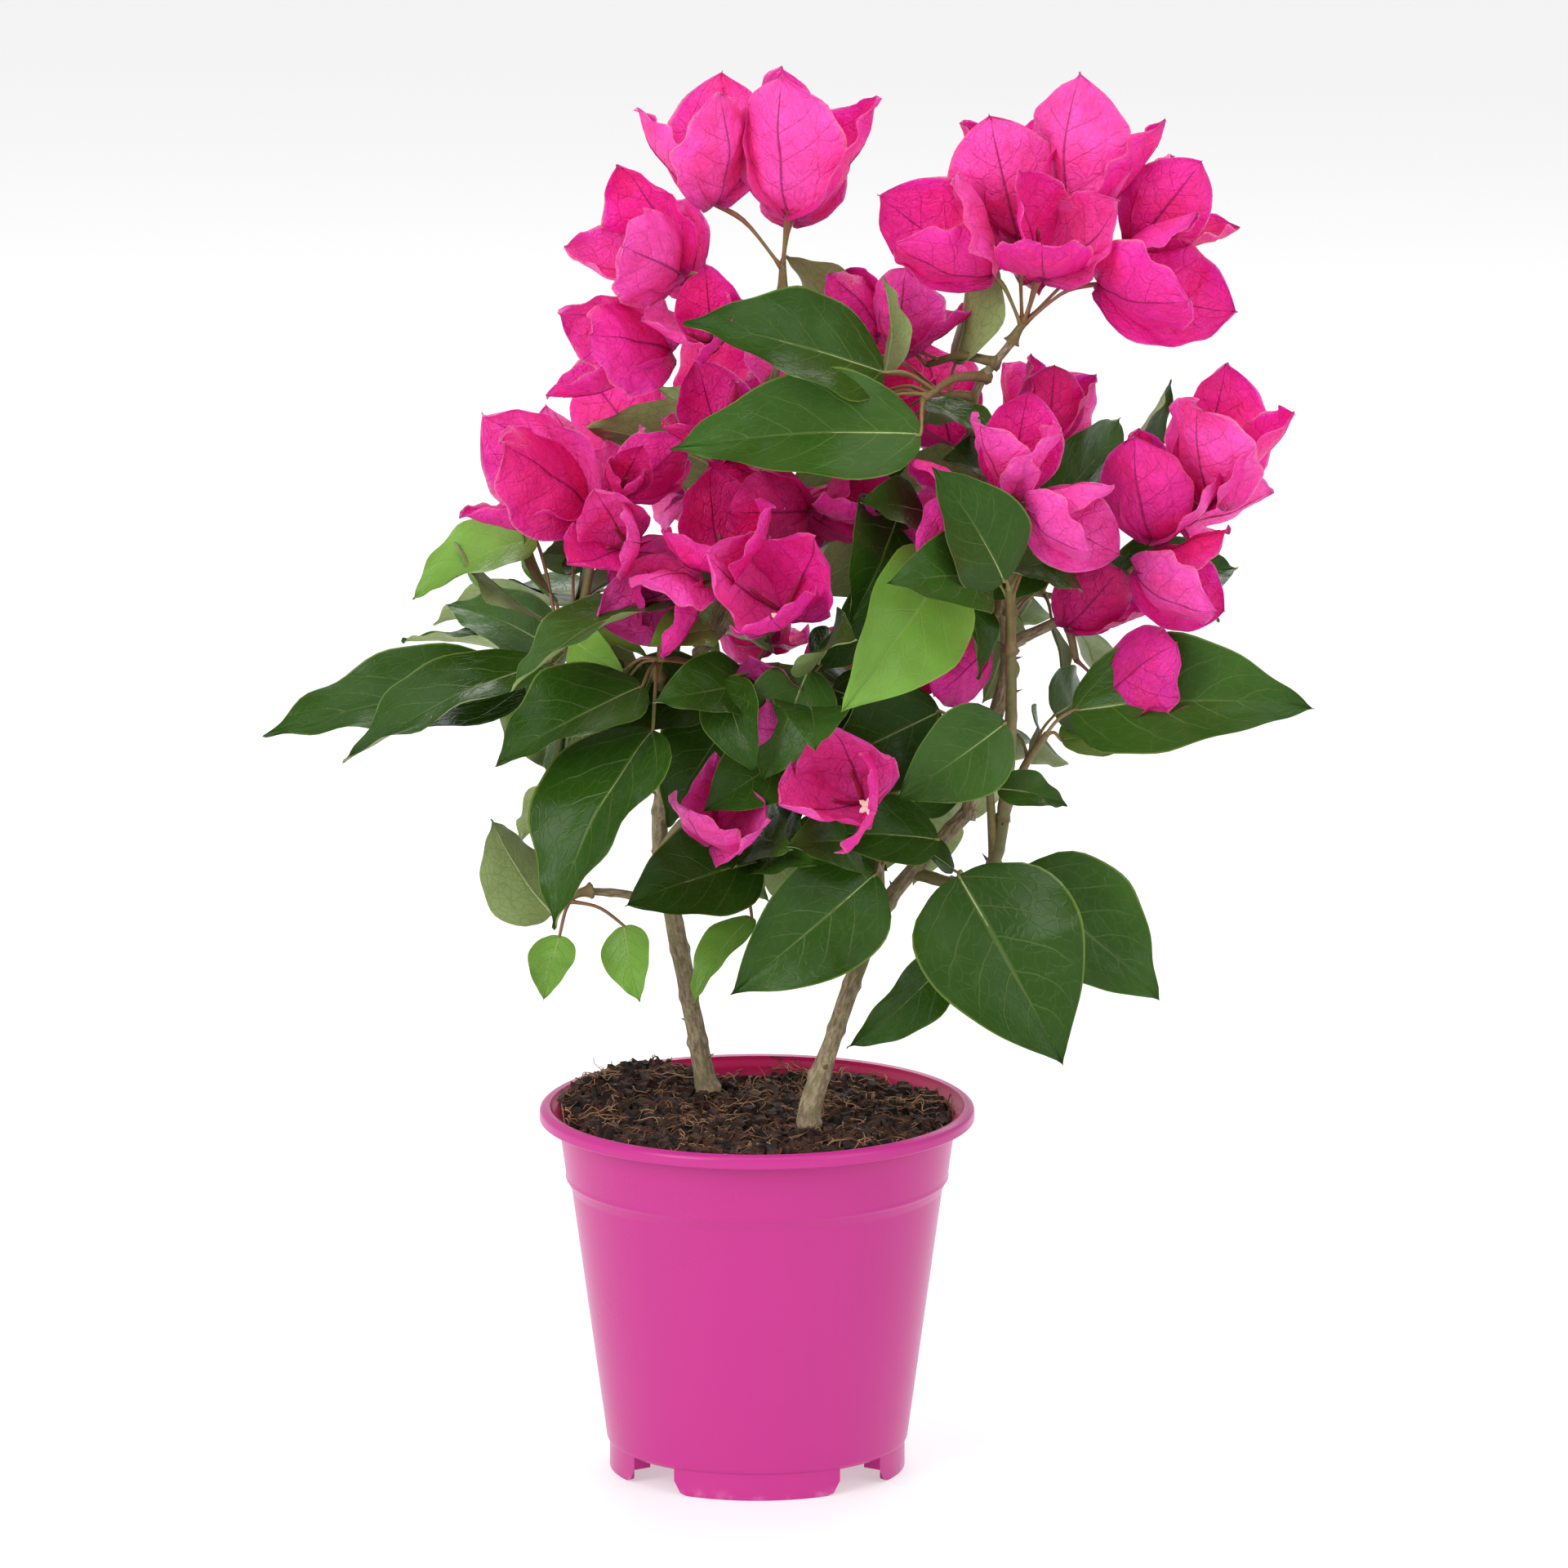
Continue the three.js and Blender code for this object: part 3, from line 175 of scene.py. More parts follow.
# Masses: the limb and the share along it where the stem starts, and the heart where it ends.
# heads: x, y, z of a head's foot, turn and rise in degrees of its axis, and its bracts' length.
# leaves: x, y, z of a blade's root, turn and rise of its midrib, length, width and roll.
# wild: how many more leaves the seeded rule tries, round the direction out (turn, rise).
MASSES = {
    "bloom_top_left": {
        "limb": "centre_bough", "share": 1, "heart": (10, 0, 479),
        "heads": [(-16, 0, 502, 165, 78, 52), (12, -4, 499, 40, 80, 55), (14, 24, 492, 80, 62, 46)],
    },
    "bloom_upper_left": {
        "limb": "centre_bough", "share": 0.8, "heart": (-12, -6, 466),
        "heads": [
            (-30, -10, 477, 205, 40, 50), (-33, -16, 448, 195, 4, 48),
            (-17, -22, 452, -110, 48, 34), (-26, 22, 468, 130, 38, 42),
        ],
    },
    "bloom_top_right": {
        "limb": "right_bough", "share": 1, "heart": (104, 0, 456),
        "heads": [
            (91, -6, 476, 196, 38, 50), (101, 10, 487, 135, 78, 54), (111, -10, 477, -80, 70, 44),
            (121, 8, 494, 50, 74, 56), (132, -6, 472, -18, 12, 52), (146, 10, 484, 30, 56, 44),
            (110, 26, 470, 95, 48, 44),
        ],
    },
    "bloom_left": {
        "limb": "left_bough", "share": 1, "heart": (-60, -16, 377),
        "heads": [
            (-64, -18, 386, 192, 26, 54), (-52, -14, 390, 30, 42, 32),
            (-50, -30, 374, -110, 20, 36), (-46, -26, 366, -70, -30, 32),
            (-62, 12, 384, 130, 30, 42),
        ],
    },
    "bloom_centre": {
        "limb": "front_bough", "share": 1, "heart": (-8, -36, 357),
        "heads": [
            (-12, -44, 366, -105, 66, 42), (-22, -44, 362, 212, -8, 42),
            (10, -50, 352, -115, 24, 46),
        ],
    },
    "bloom_middle": {
        "limb": "centre_bough", "share": 0.42, "heart": (2, -14, 388),
        "heads": [
            (20, -22, 386, 205, 16, 44), (26, -24, 386, -30, 30, 34), (-12, -22, 408, -125, 54, 38),
        ],
    },
    "bloom_right_centre": {
        "limb": "right_shoot", "share": 1, "heart": (98, -34, 386),
        "heads": [
            (98, -38, 396, -70, 66, 42), (104, -44, 392, -28, -8, 40), (90, -42, 391, 196, 0, 40),
        ],
    },
    "bloom_upper_centre": {
        "limb": "right_bough", "share": 0.9, "heart": (66, 16, 436),
        "heads": [(55, 18, 440, 25, 62, 38), (48, 24, 446, 170, 55, 32)],
    },
    "bloom_upper_right": {
        "limb": "right_bough", "share": 0.66, "heart": (108, 22, 398),
        "heads": [(113, 22, 404, 60, 74, 34)],
    },
    "bloom_right": {
        "limb": "far_right_bough", "share": 1, "heart": (158, -6, 370),
        "heads": [
            (176, -6, 386, -40, 70, 52), (153, -12, 372, 230, 80, 47), (146, -18, 362, -14, -4, 42),
            (164, 14, 374, 60, 30, 44),
        ],
    },
    "bloom_side_right": {
        "limb": "far_right_bough", "share": 0.38, "heart": (124, 2, 322),
        "heads": [(120, 4, 334, 20, 42, 36), (136, -10, 307, -16, 26, 46)],
    },
    "bloom_low_centre": {
        "limb": "middle_bough", "share": 0.62, "heart": (42, -38, 283),
        "heads": [(41, -56, 278, -112, 24, 49), (16, -40, 303, -140, 22, 38)],
    },
    "bloom_low_left": {
        "limb": "left_stem", "share": 0.56, "heart": (-18, -30, 266),
        "heads": [(-16, -44, 260, -85, 42, 42)],
    },
    "bloom_inner_right": {
        "limb": "right_bough", "share": 0.36, "heart": (93, -8, 342),
        "heads": [(89, -14, 332, 198, -16, 36)],
    },
    "bloom_back_left": {
        "limb": "back_bough", "share": 1, "heart": (-24, 62, 376),
        "heads": [
            (-40, 74, 386, 120, 30, 46), (-14, 78, 392, 85, 44, 46), (-28, 84, 370, 100, -4, 42),
        ],
    },
    "bloom_back_right": {
        "limb": "right_back_bough", "share": 1, "heart": (88, 58, 386),
        "heads": [(76, 72, 392, 110, 40, 46), (104, 68, 390, 55, 34, 44), (92, 80, 376, 85, 0, 42)],
    },
    "bloom_back_middle": {
        "limb": "centre_bough", "share": 0.6, "heart": (30, 40, 412),
        "heads": [(24, 50, 422, 110, 42, 42), (42, 52, 416, 70, 26, 42)],
    },
    "bloom_back_low": {
        "limb": "back_bough", "share": 0.4, "heart": (8, 66, 306),
        "heads": [(6, 76, 312, 105, 18, 40), (20, 72, 300, 70, 0, 36)],
    },
    "leaves_top": {
        "limb": "right_bough", "share": 0.84, "heart": (64, -24, 430),
        "leaves": [(49, -30, 442, 193, 17, 84, 46, 0), (63, -46, 421, 190, -3, 94, 50, 0)],
    },
    "leaves_crown": {
        "limb": "right_bough", "share": 0.76, "heart": (70, 8, 424),
        "leaves": [
            (77, 18, 436, -90, 76, 58, 54, 0), (42, 34, 436, 150, 48, 50, 40, 0),
            (50, -2, 436, 60, 76, 38, 24, 20), (64, -10, 427, -20, -30, 40, 30, 10),
        ],
    },
    "leaves_right_top": {
        "limb": "right_bough", "share": 0.56, "heart": (114, 16, 374), "wild": 3, "out": (50, 0),
        "leaves": [(126, 22, 382, 30, 46, 58, 46, 0), (112, 32, 374, 70, 20, 60, 38, 0)],
    },
    "leaves_centre": {
        "limb": "right_bough", "share": 0.46, "heart": (74, -24, 378),
        "leaves": [
            (55, -32, 388, -115, -30, 58, 50, 0), (74, -44, 371, -145, -46, 78, 50, 0),
            (78, -30, 362, -60, -60, 40, 24, 0),
        ],
    },
    "leaves_fold": {
        "limb": "right_shoot", "share": 0.93, "heart": (97, -46, 360),
        "leaves": [(95, -60, 366, 200, 58, 54, 40, -30)],
    },
    "leaves_left": {
        "limb": "left_bough", "share": 0.86, "heart": (-77, -8, 334),
        "leaves": [
            (-90, -10, 314, 188, -9, 101, 46, -38), (-80, -20, 326, 193, -27, 92, 42, -30),
            (-84, 2, 338, 176, 42, 44, 36, 0), (-78, 6, 344, 150, 68, 36, 32, 0),
            (-86, 4, 370, 193, -26, 52, 34, -35),
        ],
    },
    "leaves_left_front": {
        "limb": "left_front_bough", "share": 1, "heart": (-38, -38, 331),
        "leaves": [
            (-44, -50, 323, 190, -25, 64, 50, 0), (-40, -56, 307, -147, -58, 84, 58, 0),
            (-31, -40, 355, 188, -20, 78, 42, 12), (-17, -48, 345, 202, -8, 28, 24, 0),
            (-15, -22, 316, 185, -19, 50, 42, 0),
        ],
    },
    "leaves_middle": {
        "limb": "middle_bough", "share": 1, "heart": (14, -32, 318), "wild": 4, "out": (-100, -10),
        "leaves": [
            (-13, -52, 326, -60, -52, 40, 26, 0), (20, -52, 330, 199, -55, 46, 36, 0),
            (18, -42, 296, 190, -34, 46, 36, 0), (-7, -24, 307, 189, -59, 52, 44, 0),
        ],
    },
    "leaves_low_middle": {
        "limb": "left_stem", "share": 0.47, "heart": (-8, -10, 252), "wild": 4, "out": (-80, 0),
        "leaves": [(1, -34, 250, 192, -16, 54, 44, 0), (-2, -18, 224, -150, -50, 40, 20, 0)],
    },
    "leaves_low_centre": {
        "limb": "front_stem", "share": 0.76, "heart": (48, -20, 246), "wild": 2, "out": (-60, 10),
        "leaves": [(46, -42, 247, -160, -36, 72, 48, 0), (70, -36, 259, 189, -5, 55, 34, 0)],
    },
    "leaves_low_left": {
        "limb": "low_left_bough", "share": 1, "heart": (-74, 10, 224),
        "leaves": [
            (-80, 4, 220, 200, 58, 46, 38, -20), (-77, 2, 212, -120, -62, 26, 20, -60),
            (-52, 10, 214, -60, -66, 30, 22, -60),
        ],
    },
    "leaves_low_right": {
        "limb": "right_shoot", "share": 0.16, "heart": (82, -20, 237),
        "leaves": [
            (78, -36, 245, -28, -57, 82, 70, 50), (100, -24, 241, -13, -40, 72, 54, 45),
            (76, -28, 212, -166, -40, 54, 26, 0),
        ],
    },
    "leaves_right": {
        "limb": "right_shoot", "share": 0.6, "heart": (112, -20, 297), "wild": 2, "out": (20, -20),
        "leaves": [(122, -18, 306, -6, -6, 92, 54, 45), (118, -6, 292, 30, -6, 40, 24, 0)],
    },
    "leaves_inner_right": {
        "limb": "right_shoot", "share": 0.47, "heart": (89, -32, 288),
        "leaves": [
            (96, -40, 306, 192, -33, 50, 38, 0), (93, -40, 280, 10, -16, 28, 20, 0),
            (71, -32, 309, 187, -36, 65, 46, 0),
        ],
    },
    "leaves_back_left": {
        "limb": "back_bough", "share": 0.72, "heart": (-52, 60, 334), "wild": 6, "out": (120, 0),
        "leaves": [(-64, 68, 330, 150, -12, 74, 46, 0)],
    },
    "leaves_back_low_left": {
        "limb": "back_bough", "share": 0.2, "heart": (-42, 48, 266), "wild": 5, "out": (110, -20),
        "leaves": [(-50, 56, 262, 140, -30, 66, 42, 0)],
    },
    "leaves_back_right": {
        "limb": "right_back_bough", "share": 0.7, "heart": (114, 56, 336), "wild": 6, "out": (60, 0),
        "leaves": [(124, 62, 334, 35, -14, 72, 46, 0)],
    },
    "leaves_back_middle": {
        "limb": "right_back_bough", "share": 0.88, "heart": (50, 66, 346), "wild": 5, "out": (100, 10),
        "leaves": [(44, 76, 350, 110, -16, 76, 50, 0)],
    },
    "leaves_back_low": {
        "limb": "right_bough", "share": 0.1, "heart": (68, 44, 274), "wild": 5, "out": (80, -20),
        "leaves": [(66, 54, 270, 80, -34, 74, 48, 0)],
    },
    "leaves_side_left": {
        "limb": "left_bough", "share": 0.5, "heart": (-72, 26, 312), "wild": 5, "out": (160, 10),
        "leaves": [(-80, 30, 314, 165, 6, 60, 38, 0)],
    },
    "leaves_side_right": {
        "limb": "far_right_bough", "share": 0.66, "heart": (132, 24, 348), "wild": 4, "out": (30, 0),
        "leaves": [(140, 30, 344, 40, 0, 62, 38, 0)],
    },
    "leaves_back_top": {
        "limb": "centre_bough", "share": 0.24, "heart": (6, 44, 372), "wild": 5, "out": (90, 10),
        "leaves": [(4, 56, 378, 95, 10, 74, 44, 0)],
    },
}



# ---------- Small tools ----------


def place(points):
    """Millimetres from the pot's foot to metres in the frame."""
    return np.asarray(points, float) * MM + AXIS_FOOT


def unit(vector):
    return vector / np.linalg.norm(vector)


def heading(turn, rise):
    flat = math.cos(rise * DEG)
    return np.array([flat * math.cos(turn * DEG), flat * math.sin(turn * DEG), math.sin(rise * DEG)])


def square(direction, axis):
    """The part of direction that is square to axis, as a unit vector."""
    return unit(direction - axis * np.dot(direction, axis))


def seeded(seed):
    """A stream of numbers between low and high, the same for the same seed."""
    state = seed * 7919 + 104729

    def chance(low, high):
        nonlocal state
        state = state * 16807 % 2147483647
        return low + (high - low) * state / 2147483647

    chance(0, 1)
    return chance


def along(path, share):
    """A smooth line through the points of a path, which may be places or plain numbers."""
    points = np.asarray(path, float)
    last = len(points) - 1
    at = min(max(share, 0), 1) * last
    i = min(int(at), last - 1)
    t = at - i
    b, c = points[i], points[i + 1]
    a = points[i - 1] if i > 0 else 2 * b - c
    d = points[i + 2] if i + 2 <= last else 2 * c - b
    return b + t * (c - a + t * (2 * a - 5 * b + 4 * c - d + t * (3 * (b - c) + d - a))) / 2


def smooth_path(points, steps):
    return np.array([along(points, i / steps) for i in range(steps + 1)])


# ---------- Blades, by the rule that the solids follow ----------


@dataclass
class Blade:
    """A leaf or a bract: a strip that bends in a circle from its root, folded along its midrib."""

    kind: str
    root: np.ndarray
    start: np.ndarray
    top: np.ndarray
    across: np.ndarray
    length: float
    width: float
    bend: float
    fold: float
    phase: float


def outline(kind, t):
    """Share of the blade's half width at share t of its length."""
    rounding, pointing = BLADES[kind]["round"], BLADES[kind]["point"]
    widest = rounding / (rounding + pointing)
    t = np.clip(t, 0, 1)
    return t**rounding * (1 - t) ** pointing / (widest**rounding * (1 - widest) ** pointing)


def make_blade(kind, root, aim, facing, length, width, roll, chance):
    shape = BLADES[kind]
    up = square(facing, aim)
    side = np.cross(aim, up)
    up = up * math.cos(roll * DEG) + side * math.sin(roll * DEG)
    bend = chance(*shape["bend"]) * DEG
    if abs(bend) < LEAST_BEND:
        bend = LEAST_BEND
    half = bend / 2
    start = aim * math.cos(half) + up * math.sin(half)
    top = up * math.cos(half) - aim * math.sin(half)
    fold = chance(*shape["fold"]) * DEG
    phase = chance(0, 2 * math.pi)
    long = length * half / math.sin(half)
    return Blade(kind, root, start, top, np.cross(start, top), long, width, bend, fold, phase)


def lift(b, t, v, half):
    """Height of the blade's surface over its midrib at share t along it and v across it."""
    shape = BLADES[b.kind]
    wave = np.sin(2 * math.pi * shape["waves"] * t + b.phase + 2 * v)
    curl = np.abs(v) * math.sin(b.fold) + (1 - np.cos(shape["cup"] * v)) / shape["cup"]
    return np.minimum(1, t / FLAT_ROOT) * (half * curl + shape["ripple"] * b.length * wave * v * v)


def on_blade(b, t, v, off=0.0, outlined=outline):
    """Points on the blade, or that far off its surface."""
    t, v, off = np.broadcast_arrays(np.asarray(t, float), v, off)
    turn = b.bend * t
    arm = b.length / b.bend
    half = b.width / 2 * outlined(b.kind, t)
    height = lift(b, t, v, half) + off
    cup = BLADES[b.kind]["cup"]
    return (
        b.root
        + ((arm + height) * np.sin(turn))[..., None] * b.start
        + (height * np.cos(turn) - arm * (1 - np.cos(turn)))[..., None] * b.top
        + (half * math.cos(b.fold) * np.sin(cup * v) / cup)[..., None] * b.across
    )


SAMPLE_T = (0.15, 0.3, 0.45, 0.6, 0.75, 0.9, 1)
SAMPLE_V = (-0.95, -0.5, 0, 0.5, 0.95)
NEAR_ROOT = 2 * len(SAMPLE_V)  # samples that may touch the blade's own mass


def samples_of(b):
    t, v = np.meshgrid(SAMPLE_T, SAMPLE_V, indexing="ij")
    return on_blade(b, t.ravel(), v.ravel())


class Space:
    """What is in place already: blades, and stretches of limbs, stems and twigs."""

    def __init__(self):
        self.blades, self.blade_mass = [], []
        self.rods, self.rod_mass = [], []
        self.stacked = None

    def add_blade(self, b, mass):
        self.blades.append(b)
        self.blade_mass.append(id(mass))
        self.stacked = None

    def add_rods(self, centres, radius, mass):
        for a, b in zip(centres, centres[1:]):
            self.rods.append((*a, *b, radius))
            self.rod_mass.append(id(mass))

    def stack(self):
        """The blades' sizes as columns, for testing many blades at once."""
        if self.stacked is None:
            names = ("root", "start", "top", "across", "length", "width", "bend", "fold", "phase")
            rows = {n: np.array([getattr(b, n) for b in self.blades]) for n in names}
            for n in names[4:]:
                rows[n] = rows[n][:, None]
            for n in ("round", "point", "cup", "ripple", "waves"):
                rows[n] = np.array([[BLADES[b.kind][n]] for b in self.blades], float)
            rows["centre"] = np.array([on_blade(b, 0.5, 0) for b in self.blades])
            self.stacked = rows
        return self.stacked

    def meets(self, points, gap):
        """Whether each point lies within gap of each blade, past its root: blades by points."""
        s = self.stack()
        offset = points[None] - s["root"][:, None]
        across = np.einsum("bpk,bk->bp", offset, s["across"])
        arm = s["length"] / s["bend"]
        ahead = np.einsum("bpk,bk->bp", offset, s["start"])
        above = np.einsum("bpk,bk->bp", offset, s["top"]) + arm
        bowed = np.sign(arm)
        t = np.arctan2(ahead * bowed, above * bowed) / s["bend"]
        inside = (t >= ROOT_FREE) & (t <= 1 + gap / s["length"])
        bound = np.clip(t, 0, 1)
        widest = s["round"] / (s["round"] + s["point"])
        share = bound ** s["round"] * (1 - bound) ** s["point"]
        share = share / (widest ** s["round"] * (1 - widest) ** s["point"])
        half = s["width"] / 2 * share
        flat = half * np.cos(s["fold"]) / s["cup"]
        inside &= np.abs(across) <= flat * np.sin(s["cup"]) + gap
        rim = np.sin(s["cup"])
        v = np.arcsin(np.clip(across / np.maximum(flat, 1e-9), -rim, rim)) / s["cup"]
        v = np.where(flat > 0, v, 0)
        wave = np.sin(2 * math.pi * s["waves"] * t + s["phase"] + 2 * v)
        curl = np.abs(v) * np.sin(s["fold"]) + (1 - np.cos(s["cup"] * v)) / s["cup"]
        rise = np.minimum(1, t / FLAT_ROOT) * (half * curl + s["ripple"] * s["length"] * wave * v * v)
        return inside & (np.abs(bowed * np.hypot(ahead, above) - arm - rise) < gap)

    def conflicts(self, b, mass, gap=CLEARANCE):
        """How many of a blade's sample points lie too near to what is in place."""
        centre, points, count = on_blade(b, 0.5, 0), samples_of(b), 0
        if self.blades:
            s = self.stack()
            far = np.linalg.norm(s["centre"] - centre, axis=1)
            near = far <= (s["length"][:, 0] + b.length) / 2 + gap
            hits = self.meets(points, gap)[near]
            own = np.array(self.blade_mass)[near] == id(mass)
            hits[own, :NEAR_ROOT] = False
            count += int(hits.sum())
        rods = np.array(self.rods)
        a, axis = rods[:, :3], rods[:, 3:6] - rods[:, :3]
        near = np.linalg.norm(a - centre, axis=1) <= b.length + ROD_REACH
        a, axis, radius = a[near], axis[near], rods[near, 6]
        own = np.array(self.rod_mass)[near] == id(mass)
        offset = points[None] - a[:, None]
        t = np.clip(np.einsum("rpk,rk->rp", offset, axis) / (axis**2).sum(1)[:, None], 0, 1)
        gaps = np.linalg.norm(offset - t[..., None] * axis[:, None], axis=2)
        hits = gaps < (radius + gap / 2)[:, None]
        hits[own, :NEAR_ROOT] = False
        return count + int(hits.sum())

    def twig_conflicts(self, centres, mass, gap=CLEARANCE):
        """How many points of a twig lie too near to a blade that another mass holds."""
        if not self.blades:
            return 0
        other = np.array(self.blade_mass) != id(mass)
        return int(self.meets(np.array(centres), gap)[other].sum())


def outward(point):
    return unit(np.array([point[0] - CROWN_AXIS[0], point[1] - CROWN_AXIS[1], 0]))


def leaf_blades(foot, turn, rise, length, width, roll, chance):
    facing = outward(foot) * LEAF_FACING[0] + np.array([0, 0, LEAF_FACING[1]])
    return [make_blade("leaf", foot, heading(turn, rise), facing, length, width, roll, chance)]


def head_blades(foot, turn, rise, size, chance):
    axis = heading(turn, rise)
    first = square(outward(foot) - np.array([0, 0, HEAD_NOD]), axis)
    side = np.cross(axis, first)
    spin = chance(-HEAD_SPIN, HEAD_SPIN)
    blades = []
    for k in range(BRACTS_IN_HEAD):
        around = (spin + 360 * k / BRACTS_IN_HEAD) * DEG
        opening = chance(*HEAD_OPEN) * DEG
        out = first * math.cos(around) + side * math.sin(around)
        aim = axis * math.cos(opening) + out * math.sin(opening)
        inner = axis * math.sin(opening) - out * math.cos(opening)
        length = size * chance(*BRACT_LENGTH)
        roll = chance(*BRACT_ROLL)
        blades.append(
            make_blade("bract", foot, aim, inner, length, length * BRACT_WIDTH, roll, chance)
        )
    return blades


# ---------- Masses ----------

# The small turns that an organ may take to come clear of its neighbours.
NUDGES = (
    (0, 0), (8, 0), (-8, 0), (0, 8), (0, -8), (14, 8), (-14, 8), (14, -8), (-14, -8),
    (24, 0), (-24, 0), (0, 18), (0, -18),
)
NUMBERS_OF_ORGAN = 20  # the most numbers from the seeded stream that one organ uses
LIMB_RING_EVERY = 20
LIMB_STEPS = 24  # of the line on which a limb's length is measured
LEAST_RINGS = 4
MASS_STEM_BOW = 0.1  # rise of a mass's stem at its middle, of its length
TWIG_BOW = 0.12
TWIG_MIDDLE = 0.55  # share of the way to its foot at which a twig bends
ROW_SHARES = (0.6, 1)  # where on the mass's stem the twigs of its rows start
WILD_SHARES = (0.5, 1)


def limb_line(limb):
    points = smooth_path(limb["path"], LIMB_STEPS)
    length = sum(np.linalg.norm(b - a) for a, b in zip(points, points[1:]))
    rings = max(LEAST_RINGS, math.floor(length / LIMB_RING_EVERY + 0.5))
    shares = [i / rings for i in range(rings + 1)]
    return [along(limb["path"], s) for s in shares], [along(limb["girth"], s) / 2 for s in shares]


def twig_line(mass, share, blades):
    start = along(mass["stem"], share)
    foot = blades[0].root
    bow = np.linalg.norm(foot - start) * TWIG_BOW
    return [start, start + (foot - start) * TWIG_MIDDLE + np.array([0, 0, bow]), foot]


def settle(space, mass, share, make, must):
    """Puts an organ in place: the first clear nudge, or the best one where it has to be kept."""
    best = None
    for turn, rise in NUDGES:
        blades = make(turn, rise)
        twig = twig_line(mass, share, blades)
        count = sum(space.conflicts(b, mass) for b in blades) + space.twig_conflicts(twig, mass)
        if best is None or count < best[0]:
            best = (count, blades, twig)
        if count == 0:
            break
    count, blades, twig = best
    if count > 0 and not must:
        return False
    for b in blades:
        space.add_blade(b, mass)
    space.add_rods(twig, TWIG_GIRTH / 2, mass)
    mass["organs"].append({"blades": blades, "twig": twig})
    return True


def repeatable(chance):
    """The numbers of a fixed stretch of chance, so that each nudge of an organ keeps its form."""
    numbers = [chance(0, 1) for _ in range(NUMBERS_OF_ORGAN)]

    def replay():
        left = iter(numbers)
        return lambda low, high: low + (high - low) * next(left)

    return replay


def inside_wild(b):
    p = samples_of(b)
    seen = p[:, 2] + WILD["lean"] * p[:, 1]
    wide = (p[:, 0] - WILD["middle"][0]) / WILD["spread"][0]
    high = (seen - WILD["middle"][1]) / WILD["spread"][1]
    return bool(((wide**2 + high**2 < 1) & (np.abs(p[:, 1]) < WILD["depth"])).all())


def grow_wild(space, mass, number, total):
    """Leaves that the seeded rule adds round the way out of the crown, by the golden angle."""
    out_turn, out_rise = mass["out"]
    chance = mass["chance"]
    for _ in range(WILD["tries"]):
        spread = WILD["fan"] * math.sqrt((number + 0.5) / total)
        around = (WILD["golden"] * number + chance(-WILD["stray"], WILD["stray"])) * DEG
        turn = out_turn + spread * math.cos(around)
        risen = out_rise + WILD["flatter"] * spread * math.sin(around) - WILD["droop"]
        rise = max(-WILD["steepest"], min(WILD["steepest"], risen))
        reach = chance(*WILD["reach"])
        length = chance(*WILD["length"])
        form = repeatable(chance)
        foot = np.array(mass["heart"], float) + heading(turn, rise + WILD["droop"]) * reach

        def make(more_turn, more_rise):
            width = length * LEAF_WIDTH
            return leaf_blades(foot, turn + more_turn, rise + more_rise, length, width, 0, form())

        if not inside_wild(make(0, 0)[0]):
            continue
        first, last = WILD_SHARES
        if settle(space, mass, first + (last - first) * (number + 1) / total, make, False):
            return


def grow_masses():
    """Grows all masses in one space and returns them, with the space, for the finer shoots."""
    space = Space()
    for limb in LIMBS.values():
        centres, radii = limb_line(limb)
        space.add_rods(centres, max(radii), limb)
    for number, mass in enumerate(MASSES.values()):
        start = along(LIMBS[mass["limb"]]["path"], mass["share"])
        heart = np.array(mass["heart"], float)
        bow = np.array([0, 0, np.linalg.norm(heart - start) * MASS_STEM_BOW])
        mass["chance"] = seeded(number + 1)
        mass["organs"] = []
        mass["stem"] = [start, (start + heart) / 2 + bow, heart]
        space.add_rods(smooth_path(mass["stem"], 4), STEM_GIRTH_AT_MASS / 2, mass)
    first, last = ROW_SHARES
    for mass in MASSES.values():
        build = leaf_blades if "leaves" in mass else head_blades
        rows = mass.get("leaves") or mass["heads"]
        for i, row in enumerate(rows):
            form = repeatable(mass["chance"])
            foot = np.array(row[:3], float)
            turn, rise, *sizes = row[3:]

            def make(more_turn, more_rise):
                return build(foot, turn + more_turn, rise + more_rise, *sizes, form())

            settle(space, mass, first + (last - first) * (i + 1) / len(rows), make, True)
    for mass in MASSES.values():
        for number in range(mass.get("wild", 0)):
            grow_wild(space, mass, number, mass["wild"])
    return space


# ---------- Meshes from arrays ----------


def scene_object(name, data):
    """A new object in the scene."""
    made = bpy.data.objects.new(name, data)
    bpy.context.scene.collection.objects.link(made)
    return made


